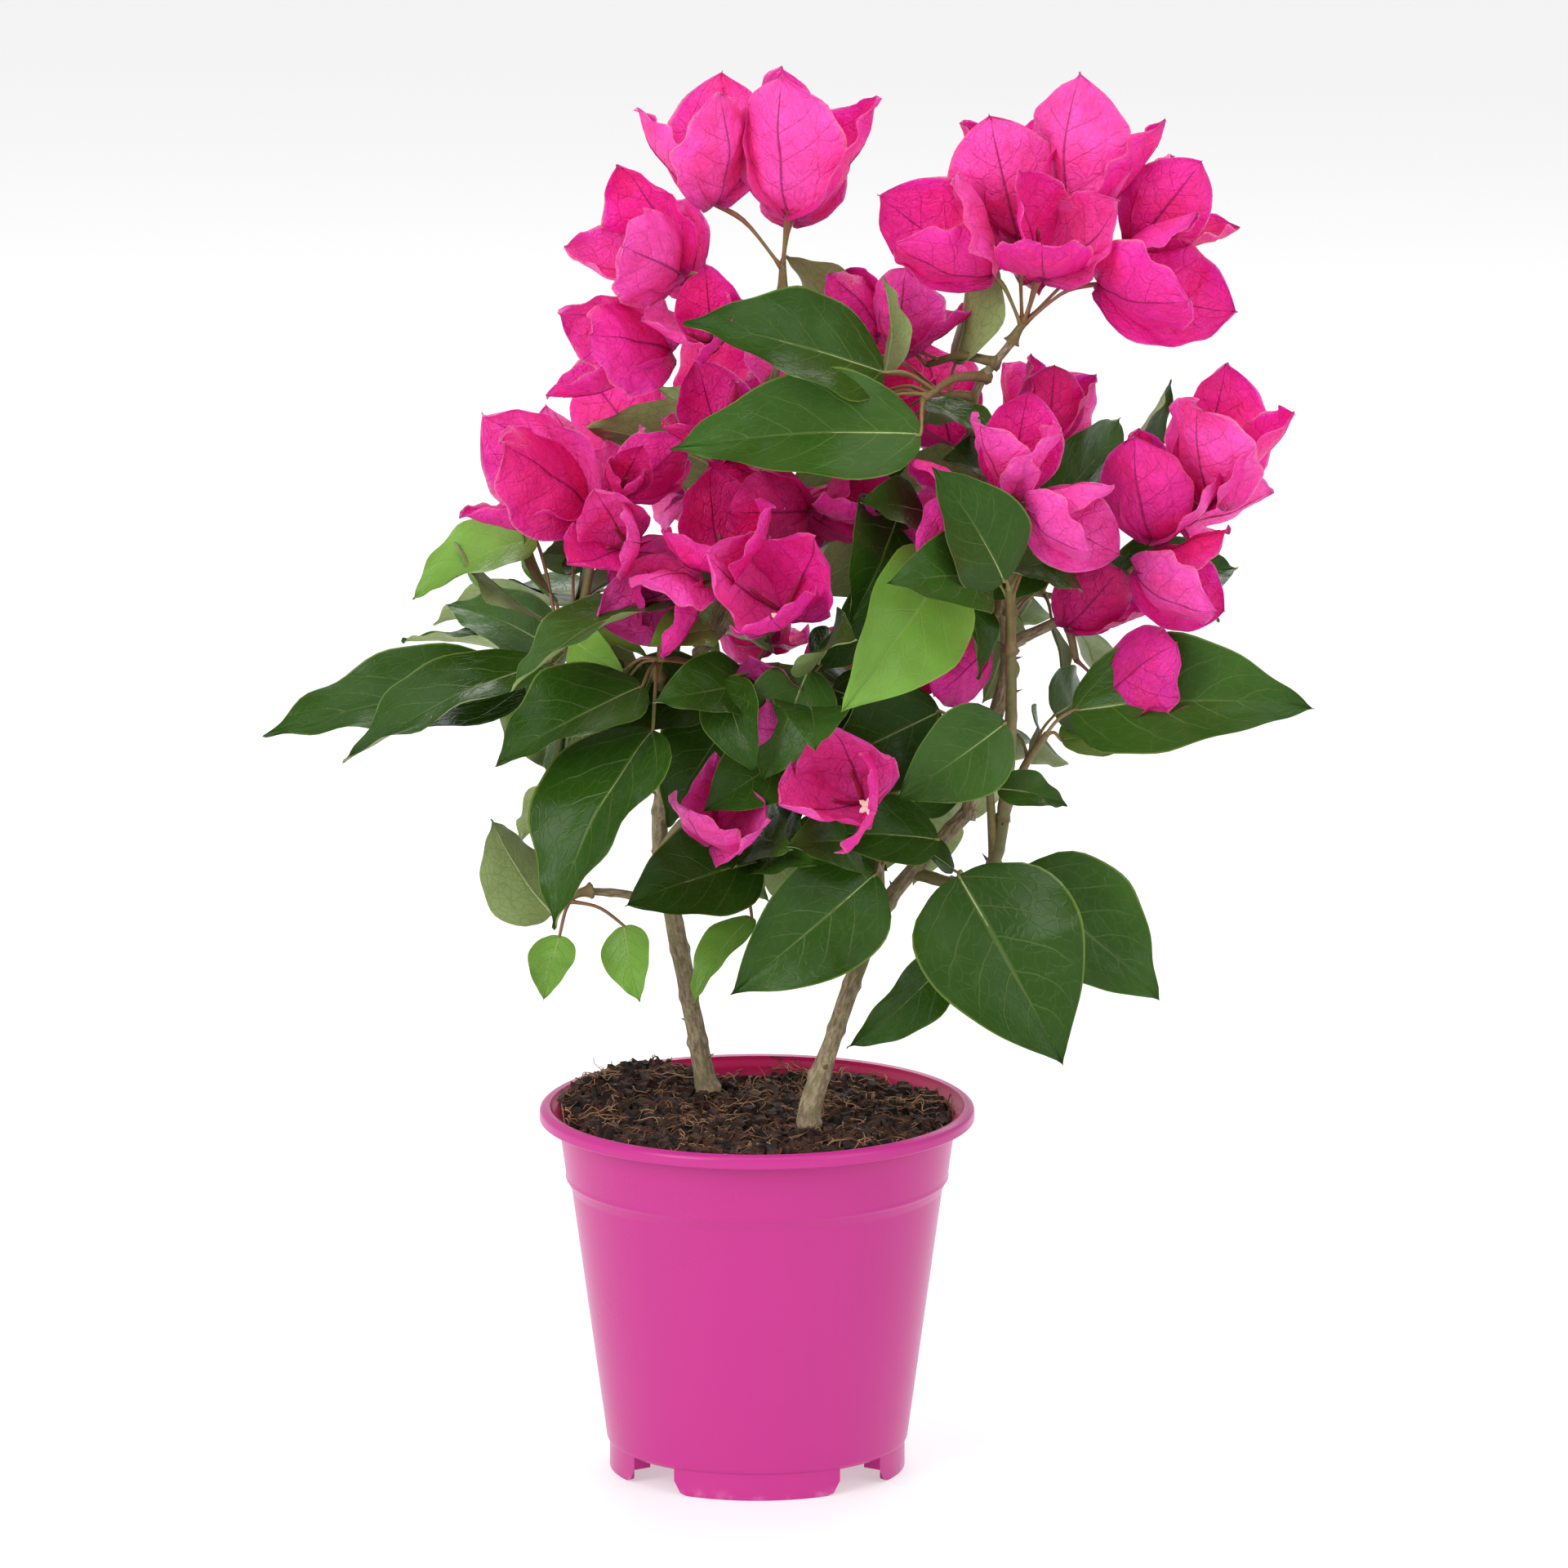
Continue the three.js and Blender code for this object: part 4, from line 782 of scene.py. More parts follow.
class Skin:
    """Points and faces of one joined mesh, with a UV at each point and a mark on underside faces."""

    def __init__(self):
        self.points, self.uvs, self.count = [], [], 0
        self.faces = {3: [], 4: []}
        self.marks = {3: [], 4: []}

    def add(self, points, uvs, faces, mark=0.0):
        """points in metres, a uv for each, and arrays of triangles or quads with one mark."""
        points = np.asarray(points, float).reshape(-1, 3)
        for block in faces:
            block = np.asarray(block, int)
            if len(block):
                self.faces[block.shape[1]].append(block + self.count)
                self.marks[block.shape[1]].append(np.full(len(block), mark))
        self.points.append(points)
        self.uvs.append(np.broadcast_to(uvs, (len(points), 2)))
        self.count += len(points)

    def more_faces(self, faces, start, mark):
        """Further faces on points that were added from number start on."""
        for block in faces:
            block = np.asarray(block, int)
            self.faces[block.shape[1]].append(block + start)
            self.marks[block.shape[1]].append(np.full(len(block), mark))

    def to_object(self, name, sharp=None):
        """One mesh object, smooth but for edges sharper than that many degrees."""
        blocks = [np.concatenate(self.faces[n]) for n in (3, 4) if self.faces[n]]
        marks = np.concatenate([np.concatenate(self.marks[n]) for n in (3, 4) if self.marks[n]])
        mesh = bpy.data.meshes.new(name)
        faces = [face for block in blocks for face in block.tolist()]
        mesh.from_pydata(np.concatenate(self.points).tolist(), [], faces)
        corners = np.concatenate([block.ravel() for block in blocks])
        layer = mesh.uv_layers.new(name="UVMap")
        layer.data.foreach_set("uv", np.concatenate(self.uvs)[corners].astype(np.float32).ravel())
        under = mesh.attributes.new("under", "FLOAT", "FACE")
        under.data.foreach_set("value", marks.astype(np.float32))
        mesh.shade_smooth()
        if sharp:
            mesh.set_sharp_from_angle(angle=sharp * DEG)
        return scene_object(name, mesh)


def ring_faces(rings, sides):
    """Quads between closed rings of points, facing outwards where the rings run along +axis."""
    i, k = np.meshgrid(np.arange(rings - 1), np.arange(sides), indexing="ij")
    near, far, nxt = i * sides, (i + 1) * sides, (k + 1) % sides
    return np.stack([near + k, near + nxt, far + nxt, far + k], -1).reshape(-1, 4)


def cap_faces(rings, sides):
    """Triangles that close both ends to two extra points after the rings."""
    k = np.arange(sides)
    nxt, last = (k + 1) % sides, (rings - 1) * sides
    foot, tip = rings * sides, rings * sides + 1
    start = np.stack([np.full(sides, foot), nxt, k], -1)
    end = np.stack([np.full(sides, tip), last + k, last + nxt], -1)
    return np.concatenate([start, end])


def ring_frames(centres):
    """For each centre of a path two unit directions square to it, carried along without twist."""
    centres = np.asarray(centres, float)
    ahead = np.gradient(centres, axis=0)
    ahead /= np.linalg.norm(ahead, axis=1)[:, None]
    side = square(np.array([1, 0, 0]) if abs(ahead[0][0]) < 0.8 else np.array([0, 1, 0]), ahead[0])
    sides = []
    for axis in ahead:
        side = square(side, axis)
        sides.append(side)
    sides = np.array(sides)
    return sides, np.cross(ahead, sides)


def add_tube(skin, centres, radii, sides, uv=None, mark=0.0, relief=None):
    """A closed tube in metres. radii may hold one number a ring, or one for each side of it."""
    centres = np.asarray(centres, float)
    rings = len(centres)
    radii = np.asarray(radii, float).reshape(rings, -1)
    first, second = ring_frames(centres)
    turn = np.arange(sides) * 2 * math.pi / sides
    if relief is not None:
        radii = radii * relief
    points = centres[:, None] + radii[..., None] * (
        np.cos(turn)[None, :, None] * first[:, None] + np.sin(turn)[None, :, None] * second[:, None]
    )
    ends = np.array([centres[0], centres[-1]])
    run = np.concatenate([[0], np.cumsum(np.linalg.norm(np.diff(centres, axis=0), axis=1))])
    if uv is None:
        grid = np.stack(np.broadcast_arrays(turn[None] / (2 * math.pi), run[:, None]), -1)
        uv = np.concatenate([grid.reshape(-1, 2), [[0.5, run[0]], [0.5, run[-1]]]])
    else:
        uv = np.concatenate([np.repeat(uv, sides, axis=0), uv[:1], uv[-1:]])
    faces = [ring_faces(rings, sides), cap_faces(rings, sides)]
    skin.add(np.concatenate([points.reshape(-1, 3), ends]), uv, faces, mark)


# ---------- Fine blades ----------

FINE = {
    "leaf": {
        "side_veins": 6, "rows": 24, "thickness": 0.42, "groove": 0.006, "quilt": 0.0045,
        "crinkle": 0.007, "frill": 0.013, "shear": 0.5, "ridge": 0.55, "tip": 0.03, "tip_width": 0.12,
        "lobe": 0.03,
    },
    "bract": {
        "side_veins": 5, "rows": 20, "thickness": 0.26, "groove": 0.004, "quilt": 0.006,
        "crinkle": 0.015, "frill": 0.026, "shear": 0.42, "ridge": 0.34, "tip": 0.03, "tip_width": 0.12,
        "lobe": 0.09,
    },
}
# Columns across a blade, closer by the midrib and by the margin.
COLUMNS = np.array([-1, -0.9, -0.7, -0.47, -0.25, -0.09, 0, 0.09, 0.25, 0.47, 0.7, 0.9, 1])


def blade_faces(rows, columns):
    """Quads and triangles of both sheets of a blade. Points: the upper rows, then the inner
    columns of the lower rows, then the root and the tip, which both sheets share."""
    i, j = np.meshgrid(np.arange(rows - 1), np.arange(columns - 1), indexing="ij")
    i, j = i.ravel(), j.ravel()

    def upper(row, column):
        return row * columns + column

    def lower(row, column):
        rim = (column == 0) | (column == columns - 1)
        return np.where(rim, upper(row, column), rows * columns + row * (columns - 2) + column - 1)

    root = rows * columns + rows * (columns - 2)
    tip = root + 1
    top = np.stack([upper(i, j), upper(i, j + 1), upper(i + 1, j + 1), upper(i + 1, j)], -1)
    base = np.stack([lower(i, j), lower(i + 1, j), lower(i + 1, j + 1), lower(i, j + 1)], -1)
    k = np.arange(columns - 1)
    first, last = np.zeros_like(k), np.full_like(k, rows - 1)
    ends = np.full_like(k, root), np.full_like(k, tip)
    top_fans = np.concatenate([
        np.stack([ends[0], upper(first, k + 1), upper(first, k)], -1),
        np.stack([ends[1], upper(last, k), upper(last, k + 1)], -1),
    ])
    base_fans = np.concatenate([
        np.stack([ends[0], lower(first, k), lower(first, k + 1)], -1),
        np.stack([ends[1], lower(last, k + 1), lower(last, k)], -1),
    ])
    return [top, top_fans], [base, base_fans]


def drawn_out(kind, t):
    """The same outline with its tip drawn out into a fine point."""
    fine = FINE[kind]
    point = np.clip((1 + fine["tip"] - t) / (2.4 * fine["tip"]), 0, 1)
    return np.maximum(outline(kind, t), fine["tip_width"] * point**1.6)


def relief_of(b, s, v):
    """The blade's own small relief: a groove at the midrib, lamina raised between side veins,
    crinkles, and a frill along the margin."""
    fine = FINE[b.kind]
    side = np.abs(v)
    groove = -fine["groove"] * np.exp(-((v / 0.07) ** 2)) * (1 - s)
    between = -np.cos(2 * math.pi * fine["side_veins"] * s)
    quilt = fine["quilt"] * between * side**0.4 * (1 - side**3) * np.sin(math.pi * s) ** 0.5
    crinkle = fine["crinkle"] * (
        np.sin(9 * s + 5 * v + b.phase) * np.sin(7 * v - 4 * s + 2.3 * b.phase)
        + 0.5 * np.sin(17 * s - 9 * v + 3.1 * b.phase) * np.cos(11 * v + 1.7 * b.phase)
    )
    frill = fine["frill"] * side**3 * np.sin(2 * math.pi * 3.6 * s + 2.7 * b.phase + 1.5 * np.sign(v))
    return b.length * (groove + quilt + (crinkle + frill) * np.minimum(1, s / 0.2))


def add_blade(skin, b, faces):
    """Both sheets of a blade and the raised midrib under it."""
    fine = FINE[b.kind]
    rows = fine["rows"]
    s, v = np.meshgrid((np.arange(rows) + 0.6) / (rows + 0.2), COLUMNS, indexing="ij")
    t = (s + fine["shear"] * np.abs(v) ** 1.2 * s * (1 - s)) * (1 + fine["tip"])
    widths = drawn_out(b.kind, t)
    t = t - fine["lobe"] * np.sin(math.pi * np.abs(v)) * (1 - s) ** 4
    relief = relief_of(b, s, v)
    thick = fine["thickness"] / 2 * (1 - v**6)
    top = on_blade(b, t, v, relief + thick, lambda kind, t: widths)
    base = on_blade(b, t, v, relief - thick, lambda kind, t: widths)[:, 1:-1]
    ends = on_blade(b, np.array([0.0, 1 + fine["tip"]]), np.zeros(2))
    uv = np.stack([(v + 1) / 2, s], -1)
    uvs = np.concatenate([uv.reshape(-1, 2), uv[:, 1:-1].reshape(-1, 2), [[0.5, 0], [0.5, 1]]])
    points = np.concatenate([top.reshape(-1, 3), base.reshape(-1, 3), ends])
    start = skin.count
    skin.add(place(points), uvs, faces[0], 0.0)
    skin.more_faces(faces[1], start, 1.0)
    run = np.linspace(0.0, 0.9, 14)
    girth = fine["ridge"] * (1 - run) ** 0.8 + 0.1
    rib = on_blade(b, run, np.zeros(14), relief_of(b, run, np.zeros(14)) - fine["thickness"] / 2)
    add_tube(skin, place(rib), girth * MM, 6, np.stack([np.full(14, 0.5), run], -1), 1.0)


# ---------- Leaves, bracts and florets ----------

LEAF_TONES = ("leaves_dark", "leaves_mid", "leaves_light")
BRACT_TONES = ("bracts_rose", "bracts_pink", "bracts_deep")
# Leaves that are paler than the rest: young ones, as mass and place in its organs.
PALE_LEAVES = {
    ("leaves_centre", 1), ("leaves_left", 2), ("leaves_left", 3), ("leaves_low_left", 1),
    ("leaves_low_left", 2), ("leaves_low_middle", 1), ("leaves_right", 1), ("leaves_left_front", 3),
    ("leaves_left", 4),
}
# Masses whose bracts stand in the shade of the others, or in full light.
DEEP_BLOOMS = {"bloom_middle", "bloom_inner_right", "bloom_side_right", "bloom_upper_right"}
BRIGHT_BLOOMS = {"bloom_top_left", "bloom_low_centre", "bloom_low_left", "bloom_right_centre"}


def leaf_tone(name, number):
    if (name, number) in PALE_LEAVES:
        return "leaves_light"
    return "leaves_mid" if (number * 5 + len(name)) % 3 == 0 else "leaves_dark"


def bract_tone(name, number, k):
    draw = (number * 4 + k * 7 + len(name)) % 9
    # painted shade and painted light: heads in the shade take the deep tone, heads in full light the pink
    # one; the other heads are dealt tones at random
    if name in DEEP_BLOOMS:
        return "bracts_deep" if draw < 6 else "bracts_rose"
    if name in BRIGHT_BLOOMS:
        return "bracts_pink" if draw < 6 else "bracts_rose"
    return "bracts_rose" if draw < 5 else ("bracts_pink" if draw < 8 else "bracts_deep")


def finish_piece(obj, nodes, material):
    """Gives a finished piece its material and its place in the frame."""
    obj.data.materials.clear()
    obj.data.materials.append(material)
    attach(obj, "root")
    if nodes:
        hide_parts(*nodes)
    return obj


def floret_line(b, length, rise):
    """The line of a floret's tube, which runs up the inner side of its bract."""
    run = np.linspace(0.03, length, 9)
    return on_blade(b, run, np.zeros(9), 0.7 + rise * (run / length) ** 1.6)


def add_floret(tubes, stars, b, is_open, chance):
    """A narrow tube, swollen near its foot, that ends in a bud or a small five-lobed star."""
    line = place(floret_line(b, chance(0.36, 0.46), chance(2.0, 4.2)))
    girth = np.array([0.5, 0.8, 1.05, 1.0, 0.85, 0.8, 0.85, 1.0, 1.1 if is_open else 0.4])
    add_tube(tubes, line, girth * MM, 8)
    if not is_open:
        return
    axis = unit(line[-1] - line[-3])
    side = square(np.array([0.3, 0.5, 0.8]), axis)
    other = np.cross(axis, side)
    lobes = np.arange(20) * math.pi / 10
    reach = np.where(np.arange(20) % 4 == 0, 4.0, np.where(np.arange(20) % 4 == 2, 2.0, 3.1)) * MM
    rim = (reach * np.cos(lobes))[:, None] * side + (reach * np.sin(lobes))[:, None] * other
    lift_up = (0.9 + 0.35 * np.cos(5 * lobes)) * MM
    ring = line[-1] + rim + lift_up[:, None] * axis
    points = np.concatenate([ring, [line[-1] + 0.5 * MM * axis, line[-1] - 0.3 * MM * axis]])
    k = np.arange(20)
    nxt = (k + 1) % 20
    faces = np.concatenate([
        np.stack([np.full(20, 20), k, nxt], -1), np.stack([np.full(20, 21), nxt, k], -1),
    ])
    stars.add(points, np.zeros((1, 2)), [faces])


class PLANT_OT_leaves(bpy.types.Operator):
    """Make the leaves of every mass, and the small ones at the shoots' tips"""

    bl_idname = "plant.leaves"
    bl_label = "Make leaves"

    def execute(self, context):
        faces = blade_faces(FINE["leaf"]["rows"], len(COLUMNS))
        skins = {tone: Skin() for tone in LEAF_TONES}
        stands_for = {tone: set() for tone in LEAF_TONES}
        for name, mass in MASSES.items():
            if "leaves" not in mass:
                continue
            for number, organ in enumerate(mass["organs"]):
                tone = leaf_tone(name, number)
                add_blade(skins[tone], organ["blades"][0], faces)
                stands_for[tone].add(name)
        for number, shoot in enumerate(SHOOTS):
            for b in shoot["blades"]:
                if b.kind == "leaf":
                    young = b.length < 36
                    tone = "leaves_mid" if number % 3 else "leaves_dark"
                    tone = "leaves_light" if young and number % 2 else tone
                    add_blade(skins[tone], b, faces)
        for tone, skin in skins.items():
            obj = skin.to_object(tone, sharp=60)
            finish_piece(obj, sorted(stands_for[tone]), leaf_material(tone))
        return {"FINISHED"}


class PLANT_OT_bracts(bpy.types.Operator):
    """Make the bracts of every head, with their florets"""

    bl_idname = "plant.bracts"
    bl_label = "Make bracts and florets"

    def execute(self, context):
        faces = blade_faces(FINE["bract"]["rows"], len(COLUMNS))
        skins = {tone: Skin() for tone in BRACT_TONES}
        tubes, stars = Skin(), Skin()
        stands_for = {tone: set() for tone in BRACT_TONES}
        chance = seeded(context.scene.plant_sizes.seed)
        for name, mass in MASSES.items():
            if "heads" not in mass:
                continue
            for number, organ in enumerate(mass["organs"]):
                is_open = chance(0, 1) < context.scene.plant_sizes.open_florets
                for k, b in enumerate(organ["blades"]):
                    tone = bract_tone(name, number, k)
                    add_blade(skins[tone], b, faces)
                    stands_for[tone].add(name)
                    add_floret(tubes, stars, b, is_open and k == 0, chance)
        for number, shoot in enumerate(SHOOTS):
            for k, b in enumerate(shoot["blades"]):
                if b.kind == "bract":
                    add_blade(skins[BRACT_TONES[2 if (number + k) % 2 else 0]], b, faces)
                    add_floret(tubes, stars, b, False, chance)
        for tone, skin in skins.items():
            obj = skin.to_object(tone, sharp=60)
            finish_piece(obj, sorted(stands_for[tone]), bract_material(tone))
        finish_piece(tubes.to_object("floret_tubes"), [], floret_material())
        finish_piece(stars.to_object("floret_stars", sharp=60), [], star_material())
        return {"FINISHED"}


# ---------- Stems, boughs and twigs ----------

SHOOTS = []  # the finer shoots: their line and the blades that they carry

# How many finer leaves and young heads the seeded rule tries round each mass.
LEAF_TRIES = 26
HEAD_TRIES = 5
SHOOT_SEED = 400
FINER_GAP = 1.2  # between the middle surfaces of finer blades
FURTHEST_OUT = 4  # of a finer leaf's root beyond its mass's heart
# The open window in front of the tall green shoot, as two corners.
WINDOW = np.array([(84, -200, 225), (112, -20, 350)])


def is_clear(space, mass, blades, twig):
    """Whether finer blades and the twig that carries them are clear of the rest."""
    spots = np.concatenate([samples_of(b) for b in blades])
    if ((spots > WINDOW[0]) & (spots < WINDOW[1])).all(1).any():
        return False
    if space.twig_conflicts(twig, mass, FINER_GAP):
        return False
    return all(inside_wild(b) and not space.conflicts(b, mass, FINER_GAP) for b in blades)


def grow_shoots(space):
    """Finer shoots from the masses' stems, with young leaves or small heads where there is room."""
    for number, mass in enumerate(MASSES.values()):
        chance = seeded(SHOOT_SEED + number)
        leafy = "leaves" in mass
        heart = mass["stem"][2]
        for k in range(LEAF_TRIES if leafy else HEAD_TRIES):
            turn, rise = 137.5 * k + chance(-20, 20), chance(-50, 50)
            foot = heart + heading(turn, rise) * chance(7, 34)
            size = chance(24, 58) if leafy else chance(20, 30)
            start = along(mass["stem"], chance(0.5, 1))
            form = repeatable(chance)
            if np.dot(foot - heart, outward(heart)) > FURTHEST_OUT:
                continue
            if leafy:
                blades = leaf_blades(foot, turn, rise - 22, size, size * LEAF_WIDTH, 0, form())
            else:
                blades = head_blades(foot, turn, rise, size, form())
            bow = np.array([0, 0, np.linalg.norm(foot - start) * TWIG_BOW])
            twig = [start, (start + foot) / 2 + bow, foot]
            if not is_clear(space, mass, blades, twig):
                continue
            for b in blades:
                space.add_blade(b, mass)
            space.add_rods(twig, TWIG_GIRTH / 2, mass)
            SHOOTS.append({"line": twig, "blades": blades})


# Radii in millimetres from foot to tip of the stems of the masses and of the three kinds of stalk.
MASS_STEM_RADII = (2.1, 1.7, 1.3)
HEAD_STALK_RADII = (0.8, 0.66, 0.75, 1.15, 0.9)
LEAF_STALK_RADII = (0.85, 0.7, 0.72, 0.6)
SHOOT_RADII = (0.8, 0.65, 0.6, 0.55)
STEM_SINK = 1.2  # how far a mass's stem is let into its limb
ONTO_BLADE = 0.03  # share of a blade's length that its stalk runs on along it


def fork_flare(run, spread, width):
    """How much a limb or twig thickens where it leaves what carries it."""
    return 1 + spread * np.exp(-run / width)


def add_twig(skin, line, radii, steps=10):
    """A petiole, a flower stalk or a shoot: a slim tube that swells at its foot and its knuckle."""
    path = smooth_path(line, steps)
    run = np.concatenate([[0], np.cumsum(np.linalg.norm(np.diff(path, axis=0), axis=1))])
    girth = np.interp(run / run[-1], np.linspace(0, 1, len(radii)), radii)
    add_tube(skin, place(path), girth * fork_flare(run, 0.7, 1.6) * MM, 8)


class PLANT_OT_twigs(bpy.types.Operator):
    """Make the stems of the masses, the leaf stalks, the flower stalks and the shoots"""

    bl_idname = "plant.twigs"
    bl_label = "Make twigs"

    def execute(self, context):
        wood, stalks = Skin(), Skin()
        for mass in MASSES.values():
            start, middle, heart = mass["stem"]
            sunk = start - unit(middle - start) * STEM_SINK
            add_twig(wood, [sunk, middle, heart], MASS_STEM_RADII, 16)
            for organ in mass["organs"]:
                first = organ["blades"][0]
                line = [*organ["twig"][:2], first.root, on_blade(first, ONTO_BLADE, 0)]
                add_twig(stalks, line, HEAD_STALK_RADII if "heads" in mass else LEAF_STALK_RADII, 14)
        for shoot in SHOOTS:
            first = shoot["blades"][0]
            add_twig(stalks, [*shoot["line"], on_blade(first, ONTO_BLADE, 0)], SHOOT_RADII, 12)
        finish_piece(wood.to_object("twig_stems"), [], twig_material())
        finish_piece(stalks.to_object("stalks"), [], stalk_material())
        return {"FINISHED"}


BARK_RING_EVERY = 1.1
BARK_SIDES = 24
NODE_EVERY = 19  # millimetres between the swollen nodes of a stem
NODE_WIDTH = 1.9
NODE_TURN = 2.4  # radians that the bump of a node stands round from the one below
BARK_GRAIN = 0.55  # how wide the fissures are across a limb
BARK_STRETCH = 0.09  # how long they are drawn along it
FISSURE_DEPTH, LUMP_DEPTH = 0.05, 0.12  # shares of the limb's radius
NODE_SWELL, NODE_BUMP = 0.06, 0.2
FOOT_FLARE, FORK_FLARE, FLARE_REACH = 0.1, 0.35, 4.0
OLD_SINK, YOUNG_SINK = 4.0, 2.0  # how far a limb is let into the soil or into its parent
YOUNG_ROUGHNESS, SHOOT_ROUGHNESS = 0.6, 0.25
THORN_SEED = 700
THORN_SINK = 0.3
THORN_LEAN = 0.35  # how much a thorn points along its limb


def limb_skin(skin, limb, rough, sink):
    """A limb as a fine tube with fissures, swollen nodes and a flare where it forks."""
    path = limb["path"]
    coarse = smooth_path(path, 60)
    length = float(np.linalg.norm(np.diff(coarse, axis=0), axis=1).sum())
    rings = max(12, int(length / BARK_RING_EVERY))
    shares = np.linspace(0, 1, rings)
    centres = np.array([along(path, s) for s in shares])
    radii = np.array([along(limb["girth"], s) / 2 for s in shares])
    if sink:
        back = unit(centres[0] - centres[1])
        centres = np.concatenate([[centres[0] + back * sink], centres])
        radii = np.concatenate([radii[:1], radii])
    run = np.concatenate([[0], np.cumsum(np.linalg.norm(np.diff(centres, axis=0), axis=1))])
    turn = np.arange(BARK_SIDES) * 2 * math.pi / BARK_SIDES
    relief = np.ones((len(centres), BARK_SIDES))
    for i, (centre, radius) in enumerate(zip(centres, radii)):
        knot = math.exp(-(((run[i] % NODE_EVERY) - NODE_EVERY / 2) / NODE_WIDTH) ** 2)
        for k, angle in enumerate(turn):
            flat = Vector((math.cos(angle), math.sin(angle), 0)) * (radius * BARK_GRAIN)
            fissure = noise.fractal(flat + Vector((0, 0, run[i] * BARK_STRETCH + path[0][0])), 0.8, 2.2, 4)
            lump = noise.noise(Vector((*(centre * 0.06),)) + flat * 0.4)
            side = 0.5 + 0.5 * math.cos(angle - NODE_TURN * math.floor(run[i] / NODE_EVERY))
            skin_depth = rough * (FISSURE_DEPTH * fissure + LUMP_DEPTH * lump)
            relief[i, k] = 1 + skin_depth + knot * (NODE_SWELL + NODE_BUMP * side * rough)
    flare = fork_flare(run, FOOT_FLARE if limb.get("foot") else FORK_FLARE, FLARE_REACH)
    add_tube(skin, place(centres), (radii * flare) * MM, BARK_SIDES, relief=relief)


def thorn_points():
    """Places on the limbs and directions for their thorns, two to a node at most."""
    places, ways = [], []
    for number, limb in enumerate(LIMBS.values()):
        chance = seeded(THORN_SEED + number)
        coarse = smooth_path(limb["path"], 40)
        length = float(np.linalg.norm(np.diff(coarse, axis=0), axis=1).sum())
        for k in range(1, int(length / NODE_EVERY)):
            share = (k + 0.5) * NODE_EVERY / length
            centre, ahead = along(limb["path"], share), along(limb["path"], min(1, share + 0.02))
            axis = unit(ahead - along(limb["path"], share - 0.02))
            around = chance(0, 2 * math.pi)
            side = square(np.array([math.cos(around), math.sin(around), 0.1]), axis)
            places.append(centre + side * (along(limb["girth"], share) / 2 - THORN_SINK))
            ways.append(unit(side + axis * THORN_LEAN))
    return np.array(places), np.array(ways)


class PLANT_OT_stems(bpy.types.Operator):
    """Make the two woody stems, their boughs, the green shoot and the thorns"""

    bl_idname = "plant.stems"
    bl_label = "Make stems and boughs"

    def execute(self, context):
        bark, shoot = Skin(), Skin()
        rough = context.scene.plant_sizes.bark_relief
        for name, limb in LIMBS.items():
            if name == "right_shoot":
                limb_skin(shoot, limb, SHOOT_ROUGHNESS * rough, YOUNG_SINK)
            elif limb.get("foot"):
                limb_skin(bark, limb, rough, OLD_SINK)
            else:
                limb_skin(bark, limb, YOUNG_ROUGHNESS * rough, YOUNG_SINK)
        boughs = [name for name in LIMBS if name != "right_shoot"]
        finish_piece(bark.to_object("bark"), boughs, bark_material())
        finish_piece(shoot.to_object("green_shoot"), ["right_shoot"], shoot_material())
        places, ways = thorn_points()
        thorns = scatter_thorns(place(places), ways, context.scene.plant_sizes.thorn_length)
        finish_piece(thorns, [], shoot_material())
        return {"FINISHED"}


# ---------- Pot and peat ----------

POT_STEPS = 192
# Radius and height of the pot's wall, with the radius of the bend at each corner.
POT_OUTER = (
    (57.4, 10, 0.4), (58.9, 11.5, 1.0), (72.6, 112, 0.6), (74.2, 115.4, 0.5), (75, 116.4, 0.5),
    (74.8, 118, 0.8), (77.4, 136.5, 0.8), (77.6, 139.2, 0.7), (84.2, 139.2, 0.3), (85.1, 139.8, 0.3),
    (85, 143.6, 1.4), (82.8, 145, 1.0),
)
POT_INNER = (
    (81, 144.6, 0.6), (80.1, 143.4, 0.8), (76.5, 141, 1.2), (75.4, 138.5, 1.2), (72.3, 116, 1.0),
    (70.4, 112, 1.0), (56.6, 13, 2.0),
)
LUG = {"half_angle": 34, "radius": 57.9, "wall": 1.8, "return": 7.5, "corner": 6.5, "top": 12}


CORNER_STEPS = 4


def bent_profile(corners):
    """A profile through corners of (radius, height, bend), each corner turned into an arc."""
    points = [np.array(c[:2], float) for c in corners]
    line = [points[0]]
    for i in range(1, len(corners) - 1):
        before, here, after = points[i - 1], points[i], points[i + 1]
        into, onward = unit(here - before), unit(after - here)
        room = min(np.linalg.norm(here - before), np.linalg.norm(after - here))
        reach = min(corners[i][2], 0.45 * room)
        a, b = here - into * reach, here + onward * reach
        for t in np.linspace(0, 1, CORNER_STEPS + 1):
            line.append((1 - t) ** 2 * a + 2 * t * (1 - t) * here + t * t * b)
    return np.array(line + [points[-1]])


def lathe(skin, profile, steps, inside_from):
    """Turns a profile, whose ends lie on the axis, and marks the faces from that ring on."""
    rings = profile[1:-1]
    turn = np.arange(steps) * 2 * math.pi / steps
    points = np.stack([
        rings[:, :1] * np.cos(turn), rings[:, :1] * np.sin(turn),
        np.broadcast_to(rings[:, 1:], (len(rings), steps)),
    ], -1).reshape(-1, 3)
    ends = np.array([[0, 0, profile[0][1]], [0, 0, profile[-1][1]]])
    faces = [ring_faces(len(rings), steps), cap_faces(len(rings), steps)]
    skin.add(place(np.concatenate([points, ends])), np.zeros((1, 2)), faces[:0])
    start = skin.count - len(points) - 2
    skin.more_faces([faces[0][:inside_from * steps], faces[1][:steps]], start, 0.0)
    skin.more_faces([faces[0][inside_from * steps:], faces[1][steps:]], start, 1.0)


